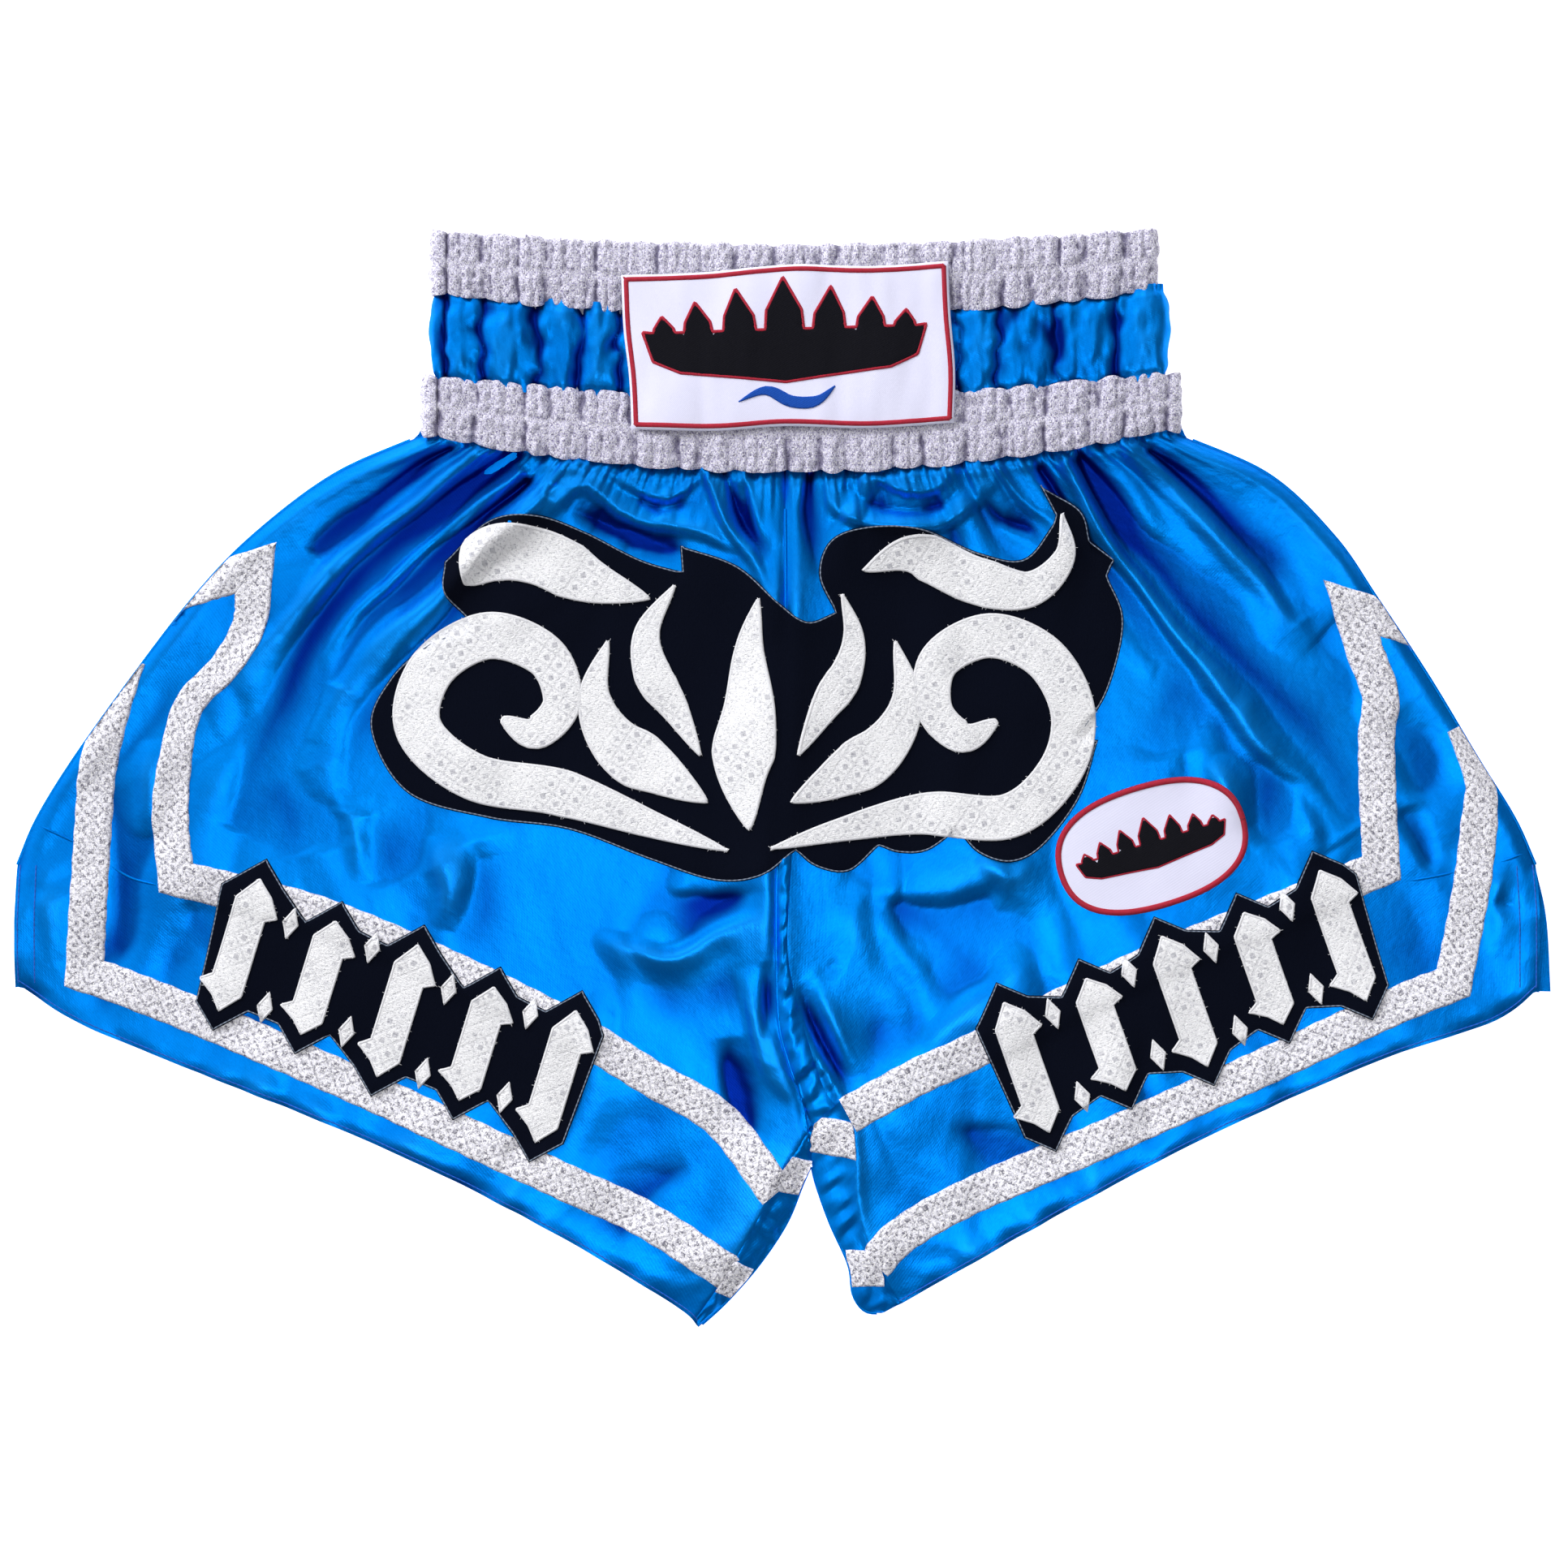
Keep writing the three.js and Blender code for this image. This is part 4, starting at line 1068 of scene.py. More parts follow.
def stitched_line(name, lines, width, height, lie, lift, finish, nodes=(), closed=True,
                  step=1.0, taper=0.0):
    """A raised, rounded line of stitching along each line."""
    across = np.array([-1, -0.72, 0, 0.72, 1]) * width / 2
    rise = np.array([0, 0.72, 1, 0.72, 0]) * height
    points, faces, uvs = [], [], []
    for line in lines:
        line = np.array(line, float)
        if closed:
            line = even_closed(line, step)
        else:
            line = spaced(line, max(3, int(length_of(line) / step)))
        n = side_normals(line, closed)
        count = len(line)
        run = run_along(line)
        slim = np.ones(count)
        if taper and not closed:
            slim = np.clip(np.minimum(run, run[-1] - run) / taper, 0.15, 1)
        start = len(points)
        under = lie(line)
        for k in range(5):
            xy = line + n * across[k] * slim[:, None]
            points += np.column_stack([xy, under + lift + rise[k] * slim]).tolist()
            uvs += np.column_stack([run, np.full(count, across[k])]).tolist()
        faces += [[start + i for i in f] for f in grid_faces_by_column(5, count, closed)]
    return make_piece(name, points, faces, uvs, finish, nodes)


def grid_faces_by_column(strips, count, closed):
    out = []
    last = count if closed else count - 1
    for k in range(strips - 1):
        for i in range(last):
            j = (i + 1) % count
            out.append((k * count + i, (k + 1) * count + i, (k + 1) * count + j, k * count + j))
    return out


# ---- Brocade tapes ----
TAPES = {                     # each run starts where the one before it ends
    "outer_right": ("right", [
        [(-22.5, -214), (-58, -191.5), (-93, -175), (-173.5, -137.5), (-236, -110), (-280, -92),
         (-302.4, -84)],
        [(-302.4, -84), (-300.5, -50), (-298.5, -15), (-296.8, 4), (-291.8, 26), (-284, 52)]]),
    "inner_right": ("right", [
        [(-3, -178.5), (-28, -147), (-58, -129), (-96, -106), (-151.5, -79), (-203, -58),
         (-262.8, -42.7)],
        [(-262.8, -42.7), (-265.3, -17.5), (-263.4, 6.6), (-257.4, 31.8), (-241.4, 49.3),
         (-231.2, 67.4), (-228.4, 91.2)],
        [(-228.4, 91.2), (-272, 78)]]),
    "outer_left": ("left", [
        [(39, -209), (51, -197), (77, -182), (128, -160), (212, -122.5), (262, -99),
         (289.4, -88)],
        [(289.4, -88), (294.5, -62), (299, -34), (301, -11.6), (301, -2), (297.4, 7.3),
         (290, 22)]]),
    "inner_left": ("left", [
        [(27.5, -145), (57, -129), (79, -119), (125, -96), (165, -77), (231, -50),
         (258.6, -38.5)],
        [(258.6, -38.5), (257, -10), (256.5, 18), (258, 36), (251, 56), (245.4, 73.9)],
        [(245.4, 73.9), (276, 64.5)]]),
}
NARROW = {"inner_right": [1, 1, 0.85, 0.8, 0.9, 1], "outer_left": [1, 1, 1, 1, 0.8, 0.45]}


def body_outline(side):
    """The edge of a panel, once round."""
    patch = panel_patch(side, 60, 60)
    return np.vstack([patch[0], patch[1:, -1], patch[-1, ::-1][1:], patch[::-1, 0][1:-1]])


def kept_inside(xy, outline):
    """Points outside the outline are moved to its edge."""
    out = xy.copy()
    closed = closed_up(outline)
    for i in np.flatnonzero(~inside(xy, outline)):
        gap = closed[1:] - closed[:-1]
        t = np.clip(((xy[i] - closed[:-1]) * gap).sum(axis=1)
                    / np.maximum((gap ** 2).sum(axis=1), 1e-9), 0, 1)
        near = closed[:-1] + t[:, None] * gap
        out[i] = near[np.argmin(((near - xy[i]) ** 2).sum(axis=1))]
    return out


def mitre(before, after):
    """How far each cross section leans forward at a corner, for the run before and after."""
    leans = []
    ways = [v / np.linalg.norm(v) for v in (before, after)]
    normals = [np.array([-w[1], w[0]]) for w in ways]
    bisector = normals[0] + normals[1]
    for way, normal in zip(ways, normals):
        leans.append(float(bisector @ way) / max(float(bisector @ normal), 0.25))
    return leans


def tape_mesh(run, outline, lie, lift, widths=None, flip=1, leans=(0.0, 0.0)):
    """A length of tape; leans tilt its two ends so that it meets the next length in a mitre."""
    line = smooth(run, 1.6)
    count = len(line)
    if widths:
        wide = np.interp(np.linspace(0, 1, count), np.linspace(0, 1, len(widths)), widths)
    else:
        wide = np.ones(count)
    n = side_normals(line)
    way = np.stack([n[:, 1], -n[:, 0]], axis=1)
    along = run_along(line)
    reach = min(26.0, along[-1])
    shear = leans[0] * (1 - ease(0, reach, along)) + leans[1] * ease(0, reach,
                                                                     along - along[-1] + reach)
    wide = wide * TAPE_WIDTH * (1 + 0.02 * np.sin(np.arange(count) * 0.9))
    shares = np.array([-0.5, -0.475, -0.43, -0.25, -0.08, 0.08, 0.25, 0.43, 0.475, 0.5])
    rise = np.array([-0.5, 0.75, 1.15, 0.95, 1.0, 1.0, 0.95, 1.15, 0.75, -0.5]) * TAPE_THICK
    points, uvs = [], []
    for share, up in zip(shares, rise):
        off = n * (wide * share)[:, None] + way * (wide * share * shear)[:, None]
        xy = kept_inside(line + off, outline)
        z = lie(xy) + flip * (lift + up)
        points.append(np.column_stack([xy, z]))
        ahead = along + share * TAPE_WIDTH * shear
        uvs.append(np.column_stack([ahead, np.full(count, share * TAPE_WIDTH)]))
    return np.vstack(points), np.vstack(uvs), grid_faces_by_column(len(shares), count, False)


def make_tape(name, runs, outline, lie, nodes, flip, widths):
    """Lengths of tape joined end to end; flip turns them to face down, and is their depth."""
    points, uvs, faces = [], [], []
    leans = [[0.0, 0.0] for _ in runs]
    for i in range(len(runs) - 1):
        before = np.subtract(runs[i][-1], runs[i][-2])
        after = np.subtract(runs[i + 1][1], runs[i + 1][0])
        leans[i][1], leans[i + 1][0] = mitre(before, after)
    for i, run in enumerate(runs):
        p, t, f = tape_mesh(run, outline, lie, LAYER + 0.15, widths if i == 1 else None, flip,
                            leans[i])
        start = len(points)
        points += p.tolist()
        uvs += (t + [i * 37.0, 0]).tolist()
        faces += [[start + k for k in (q if flip > 0 else q[::-1])] for q in f]
    return make_piece(name, points, faces, uvs, TAPE_BROCADE, nodes)


body = Ground(*fronts.values())
under_body = Ground(*backs.values())
on_body = body.heights
on_body_soft = partial(body.heights, soften=5.0)


def below_back(xy):
    """The lower face of the back panels, seen from the table."""
    out = []
    for x, y in xy[:, :2]:
        hit = under_body.tree.ray_cast(Vector((x, y, BELOW_ALL)), Vector((0, 0, 1)))[0]
        out.append(hit.z if hit else under_body.tree.find_nearest(Vector((x, y, 1.0)))[0].z)
    return np.array(out)


tapes = {}
for name, (side, runs) in TAPES.items():
    outline = body_outline(side)
    tapes[name] = make_tape(f"front_tape_{name}_brocade", runs, outline, on_body,
                            [f"front_tape_{name}"], 1, NARROW.get(name))
    make_tape(f"back_tape_{name}_brocade", runs, outline, below_back,
              [f"back_tape_{name}"], -0.55, NARROW.get(name))

on_tapes = partial(Ground(*fronts.values(), *tapes.values()).heights, soften=4.0)


# ---- Ornaments ----
def stroke(points, width, start, end, blunt=False):
    """A brush stroke along the points; start and end are the shares over which it swells."""
    line = smooth(points, 2.2)
    u = np.linspace(0, 1, len(line))
    swell = np.minimum(1, (u / start) ** 0.75) * np.minimum(1, ((1 - u) / end) ** 0.75)
    if blunt:
        swell = np.minimum(1, (u / start) ** 0.75) * np.sqrt(np.clip((1 - u) / 0.06, 0.03, 1))
        swell = swell * (1 - 0.3 * ease(0.7, 1, u))
    half = side_normals(line) * (np.maximum(0.7, width * swell) / 2)[:, None]
    return np.vstack([line + half, (line - half)[::-1]])


def crest_outline():
    """The edge of the main ornament: smooth runs that meet at corners."""
    runs = [
        [(-147, 94), (-128, 111.5), (-107, 114), (-86, 107), (-62, 95), (-42, 89)],
        [(-45, 101), (-20, 92), (-2, 76), (10, 68), (22, 72)],
        [(22, 72), (15, 88), (20, 103), (36, 109), (60, 108), (84, 98), (103, 95), (114, 107),
         (118, 116)],
        [(110, 127), (128, 116), (133, 101)],
        [(143, 95), (140, 88)],
        [(140, 88), (147, 68), (140, 38), (126, 16)],
        [(136, 17), (128, -8), (112, -29), (98, -36), (84, -32), (75, -22)],
        [(75, -22), (62, -31), (50, -32), (41, -29)],
        [(41, -29), (28, -40), (14, -38), (5, -31)],
        [(5, -31), (-10, -42), (-30, -44), (-58, -35), (-93, -22), (-128, -17), (-163, -6),
         (-179, 22), (-170, 44), (-153, 59), (-136, 66), (-147, 80), (-147, 94)]]
    line = np.vstack([smooth(run, 2.2)[:-1] for run in runs])
    keep = np.linalg.norm(line - np.roll(line, 1, axis=0), axis=1) > 0.4
    return line[keep][::-1]


CREST = crest_outline()
MAIN_FILLS = [
    stroke([(-24, -31), (-56, -20), (-96, -6), (-134, 1), (-158, 22), (-152, 48), (-128, 62),
            (-103, 53), (-96, 33), (-108, 20), (-122, 26)], 20, 0.26, 0.1, blunt=True),
    stroke([(-6, -30), (24, -22), (60, -15), (97, -16), (119, 3), (125, 28), (113, 52), (89, 62),
            (67, 51), (65, 30), (78, 18), (92, 25)], 19, 0.26, 0.1, blunt=True),
    stroke([(-15, -22), (-18, 4), (-15, 30), (-15, 56), (-11, 78)], 27, 0.32, 0.62),
    stroke([(-33, -10), (-52, 2), (-73, 16), (-82, 36), (-76, 60)], 25, 0.35, 0.6),
    stroke([(3, -10), (22, 0), (43, 14), (53, 34), (48, 60)], 23, 0.35, 0.6),
    stroke([(-36, 10), (-47, 30), (-57, 46), (-59, 64), (-47, 84)], 16, 0.4, 0.5),
    stroke([(6, 10), (17, 30), (27, 46), (30, 62), (25, 80)], 15, 0.4, 0.5),
    stroke([(-58, 78), (-82, 85), (-106, 96), (-126, 97), (-138, 84)], 24, 0.4, 0.14),
    stroke([(34, 90), (56, 97), (82, 86), (106, 82), (121, 96), (120, 115)], 20, 0.25, 0.5),
]


def ragged(outline, depth, seed):
    """The edge of thick stitching: uneven by up to depth."""
    rng = random.Random(seed)
    line = even_closed(outline, 0.9)
    off = np.array([rng.uniform(-depth, depth) for _ in line])
    return line + side_normals(line, closed=True) * off[:, None]


def thread_ends(name, outlines, lie, lift, each, seed):
    """Loose ends of thread standing out of the embroidered edges."""
    rng = random.Random(seed)
    points, faces, uvs = [], [], []
    for outline in outlines:
        line = even_closed(outline, 1.6)
        out = -side_normals(line, closed=True)
        if signed_area(line) < 0:
            out = -out
        under = lie(line)
        for i in range(len(line)):
            if rng.random() > each:
                continue
            heading = math.atan2(out[i, 1], out[i, 0]) + rng.uniform(-1.0, 1.0)
            bend = rng.uniform(-0.8, 0.8)
            reach = rng.uniform(0.6, 1.5)
            spot = line[i] - out[i] * 0.6
            start = len(points)
            for k in range(4):
                t = k / 3
                angle = heading + bend * t
                spot = spot + np.array([math.cos(angle), math.sin(angle)]) * reach / 3
                slim = 0.11 * (1 - 0.5 * t)
                across = np.array([-math.sin(angle), math.cos(angle)]) * slim
                z = under[i] + lift + 0.35 * math.sin(t * math.pi)
                points += [[*(spot + across), z], [*(spot - across), z]]
                uvs += [[t * reach, 0.1], [t * reach, -0.1]]
            faces += [[start + 2 * k, start + 2 * k + 1, start + 2 * k + 3, start + 2 * k + 2]
                      for k in range(3)]
    return make_piece(name, points, faces, uvs, WHITE_THREAD)


main_backing = cut_piece(
    "main_applique_felt", CREST, on_body_soft, LAYER + 0.35, FELT_THICK, FELT,
    ["main_applique_backing"], spacing=3.2, bevel=0.6)
on_main = Ground(*fronts.values(), *tapes.values(), main_backing).heights
main_edges = [ragged(edge, 0.35, SEED + i) for i, edge in enumerate(MAIN_FILLS)]
cut_piece("main_applique_flames", main_edges, on_main, 0.35, FILL_THICK, EMBROIDERY,
          [f"main_applique_flame_{k + 1}" for k in range(len(MAIN_FILLS))], spacing=2.6, turn=0.2,
          bevel=0.4)
stitched_line("main_applique_rims", [inset(edge, 0.6) for edge in MAIN_FILLS], 1.7, 0.6, on_main,
              0.5, WHITE_THREAD, step=0.8)
stitched_line("main_applique_edge_stitch", [inset(CREST, 0.7)], 0.55, 0.3, on_main, 0.02,
              PALE_THREAD)
thread_ends("main_applique_loose_threads", MAIN_FILLS, on_main, 0.45, 0.3, SEED)

LEG_ROWS = {
    "right": {"centre": (-167, -100), "slope": -0.395, "lean": -0.3},
    "left": {"centre": (173, -96), "slope": 0.395, "lean": 0.34}}
BLADES, BLADE_STEP, BLADE_TALL, BLADE_WIDE, BARB = 5, 37, 60, 15, 5


def blade_places(row):
    """Each blade's middle, height and direction; every other one is shorter."""
    for i in range(BLADES):
        along = (i - (BLADES - 1) / 2) * BLADE_STEP
        x = row["centre"][0] + along * math.cos(row["slope"])
        y = row["centre"][1] + along * math.sin(row["slope"])
        yield np.array([x, y]), BLADE_TALL * (0.86 if i % 2 else 1), math.pi / 2 + row["lean"]


def blade(place, tall, direction):
    half, side = tall / 2, BLADE_WIDE / 2
    outline = [(-half, 0), (-half * 0.72, -side), (half * 0.42, -side), (half * 0.5, -side - BARB),
               (half * 0.78, -side), (half, 0), (half * 0.66, side), (-half * 0.5, side),
               (-half * 0.62, side + BARB), (-half * 0.8, BLADE_WIDE / 3)]
    return turned(outline, direction, place)


def studs(row):
    """Small lozenges between the blades, high and low in turn."""
    places = list(blade_places(row))
    for i, (a, b) in enumerate(zip(places, places[1:])):
        ahead, across = ahead_and_across(a[2])
        for shift in (19, -19):
            middle = (a[0] + b[0]) / 2 + ahead * (shift + (2 if i % 2 else -2))
            yield np.array([middle + ahead * 7, middle + across * 3.4, middle - ahead * 7,
                            middle - across * 3.4])[::-1]


def jagged_backing(row):
    """One outline round the row of blades: up over the tips, back under the points."""
    places = list(blade_places(row))
    ahead, across = ahead_and_across(places[0][2])
    top, low = [], []
    for place, tall, _ in places:
        reach = tall / 2 + 9
        top += [place + ahead * (reach - 13) - across * 12.5, place + ahead * reach,
                place + ahead * (reach - 10) + across * 11]
        low += [place - ahead * (reach - 10) - across * 11, place - ahead * reach,
                place - ahead * (reach - 12) + across * 12]
    first, last = top[0] - across * 3 - ahead * 3, top[-1] + across * 4 - ahead * 6
    return np.array([first, *top, last, *low[::-1]])[::-1]


for side, row in LEG_ROWS.items():
    edge = corners_kept(jagged_backing(row), 2.5)
    blades = [corners_kept(blade(*place), 2.0) for place in blade_places(row)]
    blades += [corners_kept(stud, 1.5) for stud in studs(row)]
    felt = cut_piece(f"leg_applique_{side}_felt", edge, on_tapes, LAYER + 0.5, FELT_THICK, FELT,
                     [f"leg_applique_{side}_backing"], spacing=3.0, bevel=0.6)
    on_leg = Ground(*fronts.values(), *tapes.values(), felt).heights
    cut_piece(f"leg_applique_{side}_blades", blades, on_leg, 0.1, FILL_THICK, EMBROIDERY,
              [f"leg_applique_{side}_blade_{k + 1}" for k in range(BLADES)],
              spacing=2.4, turn=row["slope"], bevel=0.4)
    stitched_line(f"leg_applique_{side}_rims", [inset(b, 0.45) for b in blades], 1.3, 0.65,
                  on_leg, 0.3, WHITE_THREAD, step=0.8)
    stitched_line(f"leg_applique_{side}_edge_stitch", [inset(edge, 0.7)], 0.55, 0.3, on_leg,
                  0.02, PALE_THREAD)
    thread_ends(f"leg_applique_{side}_loose_threads", blades, on_leg, 0.4, 0.35,
                SEED + len(side))


# ---- Waist label and oval patch ----
def crown_badge(scale, lift, tall):
    """A row of pointed petals on a deep curved base."""
    petals = [(0, 21, 17), (18, 17.5, 15), (35, 13.5, 13), (49, 9, 10)]
    side = []
    for x, high, wide in petals:
        shoulder = 2 + (high - 2) * 0.42
        if x:
            side += [(x - wide * 0.42, 3.5), (x - wide * 0.36, shoulder)]
        side += [(x + wide * 0.1, high), (x + wide * 0.42, shoulder), (x + wide * 0.46, 3.5)]
    right = side[1:] + [(58, 4), (54, -6), (43, -10), (20, -12), (0, -14)]
    left = [(-x, y) for x, y in right[:-1]][::-1]
    whole = [(0, 21)] + right + left
    return np.array([(x * scale, y * scale * tall + lift) for x, y in whole])[::-1]


LABEL_CENTRE = (0.5, 184.0)
EMBLEM_TURN = 0.032
LABEL_SIDES = [
    [(-70.5, 32.5), (-69.5, 10), (-67, -12), (-66, -33.8)],
    [(-66, -33.8), (-30, -34.5), (0, -32.5), (36, -33.4), (72.5, -31.0)],
    [(72.5, -31.0), (73, -8), (71, 16), (70, 38.5)],
    [(70, 38.5), (36, 36.4), (2, 37.0), (-34, 33.8), (-70.5, 32.5)]]
label_outline = np.vstack([smooth(run, 2.0)[:-1] for run in LABEL_SIDES]) + LABEL_CENTRE


def label_surface(xy):
    """The label spans the pleats, drawn in a little along its stitching."""
    gap, _, _ = distance_to_line(xy, closed_up(label_outline))
    wave = np.array([noise.noise(Vector((x / 17, y / 60, 4.2))) for x, y in xy[:, :2]])
    ripple = np.array([noise.noise(Vector((x / 6.5, y / 26, 9.2))) for x, y in xy[:, :2]])
    return LOOP_TOP + 3.0 + 1.5 * wave + 0.4 * ripple + 0.9 * (1 - fade(gap, 8))


cut_piece("waist_label_twill", label_outline, label_surface, 0.0, 0.8, TWILL,
          ["waist_label"], spacing=2.4, bevel=0.4)
stitched_line("waist_label_border_stitch", [inset(label_outline, 2.1)], 2.2, 0.75, label_surface,
              0.65, RED_THREAD, ["waist_label_border"], step=0.7)
badge = corners_kept(turned(crown_badge(1.05, 4.5, 1.22), EMBLEM_TURN, LABEL_CENTRE), 2.0)
cut_piece("waist_label_crown_fill", badge, label_surface, 0.85, 0.45, BLACK_EMBLEM,
          ["waist_label_crown"], spacing=2.2, bevel=0.3)
stitched_line("waist_label_crown_outline", [badge], 1.5, 0.55, label_surface, 0.8, RED_THREAD,
              ["waist_label_crown_edge"], step=0.7)
flourish = turned(stroke([(-22, -22), (-9, -17), (2, -22), (13, -22), (22, -15)], 5.5, 0.4, 0.3),
                  EMBLEM_TURN, LABEL_CENTRE)
cut_piece("waist_label_flourish_fill", flourish, label_surface, 0.8, 0.5, BLUE_EMBLEM,
          ["waist_label_flourish"], spacing=1.6, bevel=0.3)

OVAL_CENTRE, OVAL_TURN = (159, -29), 0.30
OVAL_LONG, OVAL_SHORT = 43.0, 27.5
steps = np.linspace(0, 2 * math.pi, 140, endpoint=False)
squarish = 1 + 0.03 * np.cos(4 * steps + math.pi)
oval = np.column_stack([OVAL_LONG * np.cos(steps) * squarish,
                        OVAL_SHORT * np.sin(steps) * squarish])
oval = turned(oval, OVAL_TURN, OVAL_CENTRE)
cut_piece("oval_patch_twill", oval, on_body_soft, LAYER + 0.4, 0.9, TWILL,
          ["oval_patch"], spacing=2.4, turn=OVAL_TURN, bevel=0.5)
stitched_line("oval_patch_border_stitch", [inset(oval, 0.9)], 2.8, 1.1, on_body_soft,
              LAYER + 0.9, RED_THREAD, ["oval_patch_border"], step=0.7)
oval_badge = corners_kept(turned(crown_badge(0.58, -0.5, 1.1), OVAL_TURN, OVAL_CENTRE), 1.5)
cut_piece("oval_patch_crown_fill", oval_badge, on_body_soft, LAYER + 1.3, 0.4, BLACK_EMBLEM,
          ["oval_patch_crown"], spacing=1.8, bevel=0.25)
stitched_line("oval_patch_crown_outline", [oval_badge], 1.0, 0.4, on_body_soft, LAYER + 1.25,
              RED_THREAD, ["oval_patch_crown_edge"], step=0.6)


# ---- Seams and stitching ----
HEM_STITCH_IN = 1.6
VENT_STITCHES_IN = (1.4, 8.5)


def at_seam(xy):
    return np.full(len(xy), SEAM_Z - SEAM_DIP)


def stitch_row(edge, side, distance):
    """A row of stitching along the edge, the distance in from it."""
    line = smooth(edge, 2.0)
    row = line + side_normals(line) * distance * -SIGN[side]
    return kept_inside(row, body_outline(side))


for side in SIGN:
    rolls = (("side_seam", smooth(SIDE[side], 3.0)[2:], 3.0),
             ("inseam", smooth(INSEAM[side], 2.0)[1:-1], 2.0))
    for seam, line, step in rolls:
        stitched_line(f"{seam}_{side}_roll", [line], 1.6, 0.8, at_seam, 0.0, SATIN,
                      [f"{seam}_{side}"], closed=False, step=step)
    rows = [stitch_row(HEM[side], side, HEM_STITCH_IN)]
    rows += [stitch_row(VENT[side], side, distance) for distance in VENT_STITCHES_IN]
    stitched_line(f"hem_stitching_{side}", rows, 0.5, 0.22, on_body, 0.1, BLUE_STITCH,
                  closed=False, step=1.6)

PIECING = {
    "right": [[(-322, -20), (-305, -28)], [(-291, -38), (-282, -43), (-270, -46)]],
    "left": [[(270, -44), (282, -42), (291, -40)], [(309, -36), (320, -32)]]}
for side, lines in PIECING.items():
    stitched_line(f"piecing_seam_{side}", [smooth(run, 2.0) for run in lines], 1.3, 0.6, on_body,
                  -0.1, SATIN, closed=False, step=1.6, taper=4)
centre_line = smooth(CENTRE_SEAM, 3.0)[4:-2]
for face, rise, ground, lift in (("front", 0.8, on_body, -0.2), ("back", -0.5, below_back, 0.1)):
    stitched_line(f"centre_{face}_seam_ridge", [centre_line], 1.5, rise, ground, lift, SATIN,
                  [f"centre_{face}_seam"], closed=False, step=2.0)


def strip_piece(name, first, second, lift, puff, seed):
    """A puckered strip of satin between two lines, lying on the front."""
    count = int(length_of(smooth(first)) / 1.2)
    a, b = spaced(smooth(first), count), spaced(smooth(second), count)
    shares = np.linspace(0, 1, 11)
    run = np.linspace(0, length_of(a), count)
    wide = np.linalg.norm(b - a, axis=1)
    points, uvs = [], []
    for share in shares:
        xy = a + (b - a) * share
        ripple = np.array([noise.noise(Vector((r / 5, share * 1.5, seed))) for r in run])
        z = on_body(xy) + lift + (puff + 1.6 * ripple) * math.sin(math.pi * share) ** 0.6
        points.append(np.column_stack([xy, z]))
        uvs.append(np.column_stack([run, wide * share]))
    faces = grid_faces_by_column(len(shares), count, False)
    made = make_piece(name, np.vstack(points), faces, np.vstack(uvs), SATIN)
    mark_folds(made, np.zeros(len(made.data.vertices)))
    return made


FACING_OUT = {
    "right": [(13, -152), *INSEAM["right"][:-1], (-37, -236.5)],
    "left": [(13, -149), (11, -158), *INSEAM["left"][:-1], (43, -230.5)]}
FACING_TAPES = {
    "right": [[(-1, -170), (11, -173)], [(-28, -213), (-17, -219)]],
    "left": [[(8, -152.5), (33, -156.5)], [(27, -211.5), (43, -211)]]}
strip_piece("centre_front_flap", CENTRE_SEAM_LOW, FLAP, 0.25, 1.0, 3.0)
for side in SIGN:
    facing = strip_piece(f"inseam_facing_{side}", FACING[side], FACING_OUT[side], 0.1, 1.3, 7.0)
    on_facing = Ground(facing).heights
    shape = np.vstack([smooth(FACING[side]), smooth(FACING_OUT[side])[::-1]])
    bits, bit_uvs, bit_faces = [], [], []
    for line in FACING_TAPES[side]:
        p, t, f = tape_mesh(line, shape, on_facing, 0.35)
        bit_faces += [[len(bits) + k for k in q] for q in f]
        bits += p.tolist()
        bit_uvs += t.tolist()
    make_piece(f"inseam_facing_{side}_brocade", bits, bit_faces, bit_uvs, TAPE_BROCADE)

# ---- Floor, camera and light ----
FLOOR_HALF, FLOOR_Z = 3.2, -0.0004
floor_mesh = bpy.data.meshes.new("studio_floor")
floor_corners = [(x * FLOOR_HALF, y * FLOOR_HALF, FLOOR_Z)
                 for x, y in ((-1, -1), (1, -1), (1, 1), (-1, 1))]
floor_mesh.from_pydata(floor_corners, [], [(0, 1, 2, 3)])
floor = bpy.data.objects.new("studio_floor", floor_mesh)
bpy.context.scene.collection.objects.link(floor)
paper = Finish("white_paper", Roughness=0.95, Specular_IOR_Level=0.1)
paper_grain = paper.noise(paper.place(), 120.0)
paper.shader.inputs["Emission Color"].default_value = (1, 1, 1, 1)
paper.shader.inputs["Emission Strength"].default_value = 1.0
paper.set(Base_Color=paper.mix(paper_grain, (0.93, 0.93, 0.93), (0.95, 0.95, 0.95)))
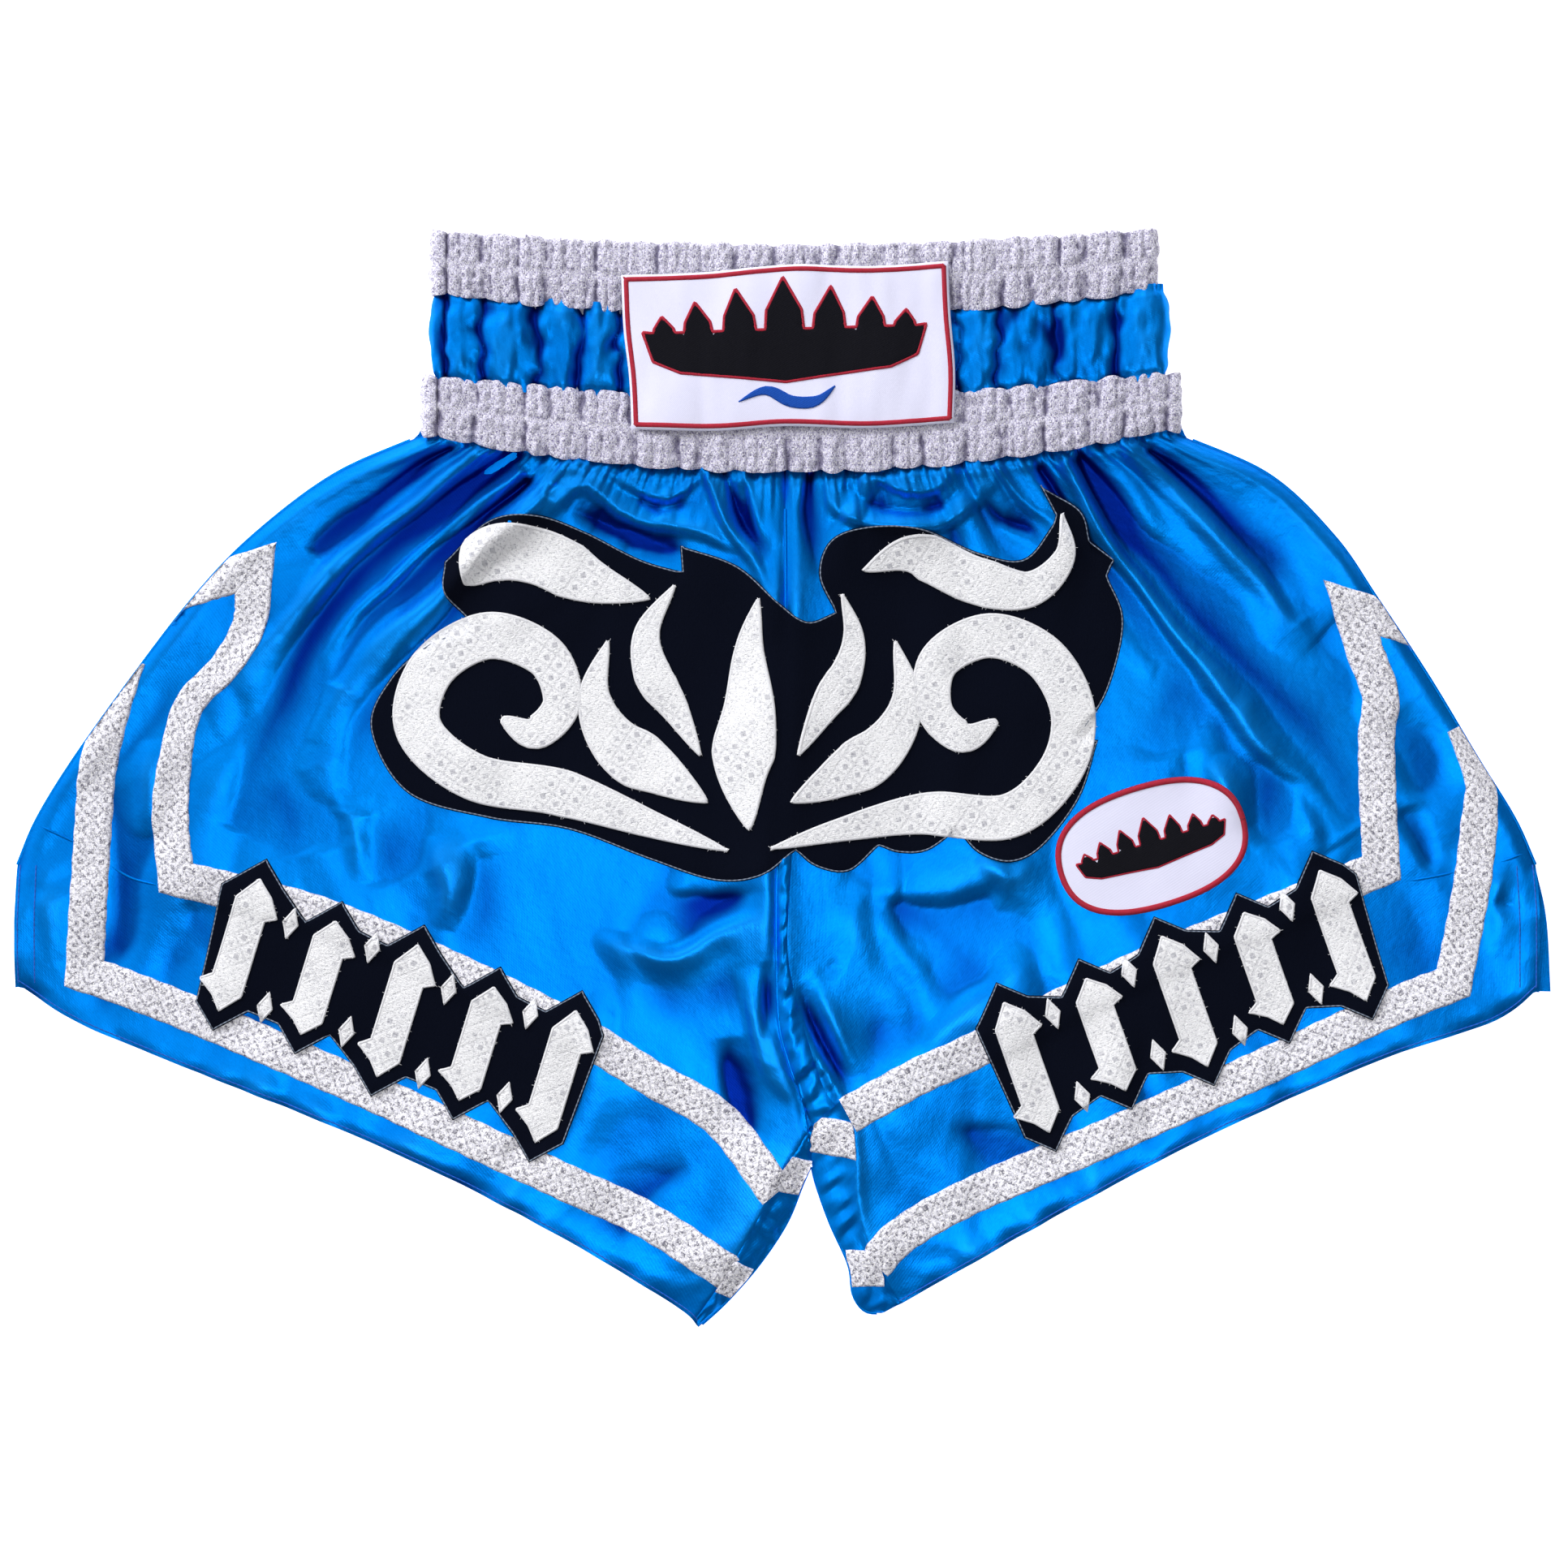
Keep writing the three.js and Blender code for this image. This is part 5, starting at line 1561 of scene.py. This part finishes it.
floor_mesh.materials.append(paper.material)

LENS, SENSOR, CAMERA_PLACE = 90, 36, (0.0, -0.0021, 1.70)
camera_data = bpy.data.cameras.new("overhead_camera")
camera_data.lens = LENS
camera_data.sensor_width = SENSOR
camera = bpy.data.objects.new("overhead_camera", camera_data)
camera.location = CAMERA_PLACE
bpy.context.scene.collection.objects.link(camera)
bpy.context.scene.camera = camera


def soft_light(name, place, target, size, power, mirrored):
    """A rectangular light; mirrored says whether glossy surfaces show it."""
    data = bpy.data.lights.new(name, "AREA")
    data.shape = "RECTANGLE"
    data.size, data.size_y = size
    data.energy = power
    light = bpy.data.objects.new(name, data)
    light.visible_glossy = mirrored
    light.location = place
    light.rotation_euler = (Vector(target) - Vector(place)).to_track_quat("-Z", "Y").to_euler()
    bpy.context.scene.collection.objects.link(light)


soft_light("key_light", (-1.3, 1.5, 1.15), (0, 0, 0), (1.5, 1.2), 46, False)
soft_light("side_light", (1.7, 0.5, 0.9), (0, 0, 0), (0.6, 0.6), 4, False)
soft_light("sheen_light", (-0.9, 1.6, 1.2), (0, 0, 0), (0.7, 0.5), 2.5, True)
soft_light("top_light", (0.02, -0.1, 0.8), (0.02, -0.1, 0), (0.34, 0.26), 1.6, True)


def studio_world():
    """White studio, brighter behind the waistband and to the wearer's right."""
    world = bpy.data.worlds.new("studio")
    world.use_nodes = True
    sky = Nodes(world.node_tree)
    backdrop = sky.tree.nodes["Background"]
    heading = sky.node("ShaderNodeTexCoord", output="Generated")
    lean = sky.node("ShaderNodeVectorMath", {"operation": "DOT_PRODUCT"},
                    {0: heading, 1: (-0.5, 0.7, 0.35)}, output="Value")
    strength = sky.node("ShaderNodeMapRange", None, {
        "Value": lean, "From Min": 0.14, "From Max": 1.05, "To Min": 0.1, "To Max": 1.35})
    sky.feed(backdrop.inputs["Strength"], strength)
    sky.feed(backdrop.inputs["Color"], (1, 1, 1))
    bpy.context.scene.world = world


studio_world()
bpy.context.scene.view_settings.view_transform = "Standard"
